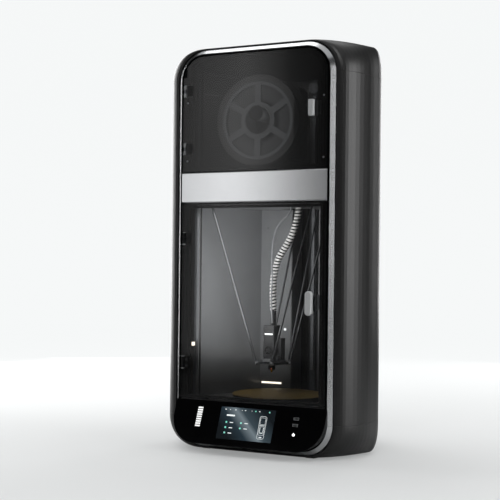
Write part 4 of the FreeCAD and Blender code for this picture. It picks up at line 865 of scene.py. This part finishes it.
class PRINTER_OT_console(bpy.types.Operator):
    """Gloss face, display with its plain symbols, ports and power button"""

    bl_idname = "printer.console"
    bl_label = "Console"

    def execute(self, context):
        sizes = context.scene.printer_sizes
        colours = context.scene.printer_colours
        tilt = sizes.console_tilt
        middle = 0.105
        upper_edge = 0.172
        origin = np.array([0.0, RIM_Y - 16 * MM - (upper_edge - middle) * math.tan(tilt), middle])
        up = np.array([0.0, math.sin(tilt), math.cos(tilt)])
        out = np.array([0.0, -math.cos(tilt), math.sin(tilt)])

        def on_face(u, v, w):
            """Point on the console's face: u right, v up the slope from the display's middle, w outwards."""
            across = np.multiply.outer(u, [1.0, 0, 0])
            return origin + across + np.multiply.outer(v, up) + np.multiply.outer(w, out)

        # Cast acrylic, piano black: a deep gloss.
        gloss, tree, shader = new_surface("piano_black_acrylic", IOR=1.45)
        vary_colour(tree, shader, grain(tree, 0.1, 1.0), "030304", "050506")
        vary_roughness(tree, shader, grain(tree, 0.08, 1.0), 0.07, 0.10)
        dress(gloss, "console_glass", "power_button")
        # Nickel-plated port shells.
        nickel = varied("nickel_plate", ("8e9092", "a2a4a6"), 1.5 * MM, (0.35, 0.5), 2 * MM, Metallic=0.5)
        dress(nickel, "usb_ports")
        dress(lamp_surface("lit_segment_cover", "f6f7f6", 0.7), "console_lights")
        self.display(on_face, colours)
        self.button(on_face, middle, tilt)
        return {"FINISHED"}

    def display(self, on_face, colours):
        """Bonded display glass, and the symbols that it shows as thin lit films."""
        half_u, half_v = 0.100, 0.054
        ground, tree, shader = new_surface(
            "lit_display_ground", IOR=1.45, Roughness=0.12, Emission_Strength=0.55
        )
        # A pale diagonal band across the display ground: a painted reflection.
        glare_slant = add_node(tree, "ShaderNodeMapping", {"Vector": place(tree), "Scale": (1, 0, -1.1)})
        parts = add_node(tree, "ShaderNodeSeparateXYZ", {"Vector": glare_slant.outputs["Vector"]})
        inputs = {0: parts.outputs["X"], 1: parts.outputs["Z"]}
        glare_line = add_node(tree, "ShaderNodeMath", inputs, operation="SUBTRACT").outputs["Value"]
        share = add_node(tree, "ShaderNodeMapRange", {"Value": glare_line, "From Min": 0.01, "From Max": 0.22})
        stops = ((0.0, "14181b"), (0.30, colours.screen), (0.52, "6f7a80"), (0.62, "3a464d"), (1.0, "151a1e"))
        colour = ramp(tree, share.outputs["Result"], stops)
        tree.links.new(colour, shader.inputs["Base Color"])
        tree.links.new(colour, shader.inputs["Emission Color"])
        glass = prism(rounded_outline(0, 0, half_u, half_v, 1.5 * MM), -0.5 * MM, 0.25 * MM, on_face)
        new_piece("display_screen", glass, ground, "frame", smooth=False)

        def film(a, b, half_a, half_b, radius=0.9 * MM):
            """Rounded patch; a and b are shares of the display's width and height from its upper left."""
            outline = rounded_outline((a - 0.5) * 2 * half_u, (0.5 - b) * 2 * half_v, half_a, half_b, radius)
            return prism(outline, 0.2 * MM, 0.42 * MM, on_face)

        def wire_frame(a, b, half_a, half_b, width, radius):
            """Outline of a rounded patch."""
            u, v = (a - 0.5) * 2 * half_u, (0.5 - b) * 2 * half_v
            outer = rounded_outline(u, v, half_a, half_b, radius)
            inner = rounded_outline(u, v, half_a - width, half_b - width, radius - width)
            return frame_plate(outer, inner, 0.2 * MM, 0.42 * MM, on_face)

        white = [film(0.20, 0.255, 15 * MM, 2.6 * MM, 1.2 * MM)]
        white += [film(a, 0.075, 2.6 * MM, 1.1 * MM) for a in (0.09, 0.27, 0.45, 0.71)]
        white += [film(a, 0.075, 1.2 * MM, 1.2 * MM) for a in (0.17, 0.39, 0.57)]
        rows = ((0.47, (0.14, 0.41)), (0.635, (0.14, 0.41)), (0.80, (0.14,)))
        white += [film(a + 0.095, b + 0.005, 6.5 * MM, 1.3 * MM) for b, columns in rows for a in columns]
        # Line drawing of the machine: casing, filament window, band, chamber window, console.
        icon_a = 0.80
        white += [
            wire_frame(icon_a, 0.56, 12.5 * MM, 38 * MM, 1.0 * MM, 6 * MM),
            wire_frame(icon_a, 0.36, 9.5 * MM, 11.5 * MM, 0.8 * MM, 3.5 * MM),
            film(icon_a, 0.495, 10.5 * MM, 0.7 * MM, 0.5 * MM),
            wire_frame(icon_a, 0.66, 9.5 * MM, 14.5 * MM, 0.8 * MM, 2.5 * MM),
            film(icon_a - 0.03, 0.63, 0.7 * MM, 8.5 * MM, 0.5 * MM),
            film(icon_a + 0.03, 0.63, 0.7 * MM, 8.5 * MM, 0.5 * MM),
            film(icon_a, 0.725, 6.0 * MM, 1.0 * MM, 0.6 * MM),
            film(icon_a, 0.86, 5.0 * MM, 1.6 * MM, 1.0 * MM),
        ]
        plain = lamp_surface("lit_white_film", "dfe6e8", 0.8)
        new_piece("display_marks", joined(white), plain, "frame", smooth=False)
        teal = [film(a, b, 3.3 * MM, 3.3 * MM, 3.2 * MM) for b, columns in rows for a in columns]
        teal += [film(a, 0.075, 2.4 * MM, 2.4 * MM, 2.3 * MM) for a in (0.64, 0.89)]
        accent = lamp_surface("lit_teal_film", colours.accent, 0.7)
        new_piece("display_accents", joined(teal), accent, "frame", smooth=False)

    def button(self, on_face, middle, tilt):
        """Lit power symbol on the button: an open ring and a short bar."""
        u, v, lift = 0.175, (0.0856 - middle) / math.cos(tilt), 0.8 * MM
        angle = np.linspace(math.radians(130), math.radians(410), 33)
        loop = np.stack([np.cos(angle), np.sin(angle)], axis=1)
        outline = np.concatenate([loop * 4.6 * MM, loop[::-1] * 3.1 * MM]) + [u, v]
        arc_points, arc_faces = prism(outline, lift - 0.2 * MM, lift + 0.2 * MM, on_face)
        count = len(loop)
        sides = arc_faces[: 2 * count]
        near = [[i, i + 1, 2 * count - 2 - i, 2 * count - 1 - i] for i in range(count - 1)]
        far = [[index + 2 * count for index in face] for face in near]
        bar_outline = rounded_outline(u, v + 3.4 * MM, 0.8 * MM, 2.6 * MM, 0.7 * MM)
        bar = prism(bar_outline, lift - 0.2 * MM, lift + 0.2 * MM, on_face)
        symbol = joined([(arc_points, sides + near + far), bar])
        white = lamp_surface("lit_button_symbol", "ffffff", 2.4)
        new_piece("power_symbol", symbol, white, "start_button", smooth=False)


class PRINTER_PT_panel(bpy.types.Panel):
    """Lists the printer's pieces"""

    bl_idname = "PRINTER_PT_panel"
    bl_label = "Delta printer"
    bl_space_type = "VIEW_3D"
    bl_region_type = "UI"
    bl_category = "Printer"

    def draw(self, context):
        for operator in OPERATORS:
            self.layout.operator(operator.bl_idname)
        for group in (context.scene.printer_sizes, context.scene.printer_colours):
            for name in group.__annotations__:
                self.layout.prop(group, name)


OPERATORS = (
    PRINTER_OT_stage,
    PRINTER_OT_hoses,
    PRINTER_OT_cabinet,
    PRINTER_OT_doors,
    PRINTER_OT_chamber,
    PRINTER_OT_head,
    PRINTER_OT_spool,
    PRINTER_OT_console,
)
CLASSES = (PrinterSizes, PrinterColours) + OPERATORS + (PRINTER_PT_panel,)


def register():
    for cls in CLASSES:
        bpy.utils.register_class(cls)
    bpy.types.Scene.printer_sizes = bpy.props.PointerProperty(type=PrinterSizes)
    bpy.types.Scene.printer_colours = bpy.props.PointerProperty(type=PrinterColours)


def unregister():
    del bpy.types.Scene.printer_sizes
    del bpy.types.Scene.printer_colours
    for cls in reversed(CLASSES):
        bpy.utils.unregister_class(cls)


def main():
    """Makes every piece in order."""
    register()
    for operator in OPERATORS:
        group, name = operator.bl_idname.split(".")
        getattr(getattr(bpy.ops, group), name)()


if __name__ == "__main__":
    main()
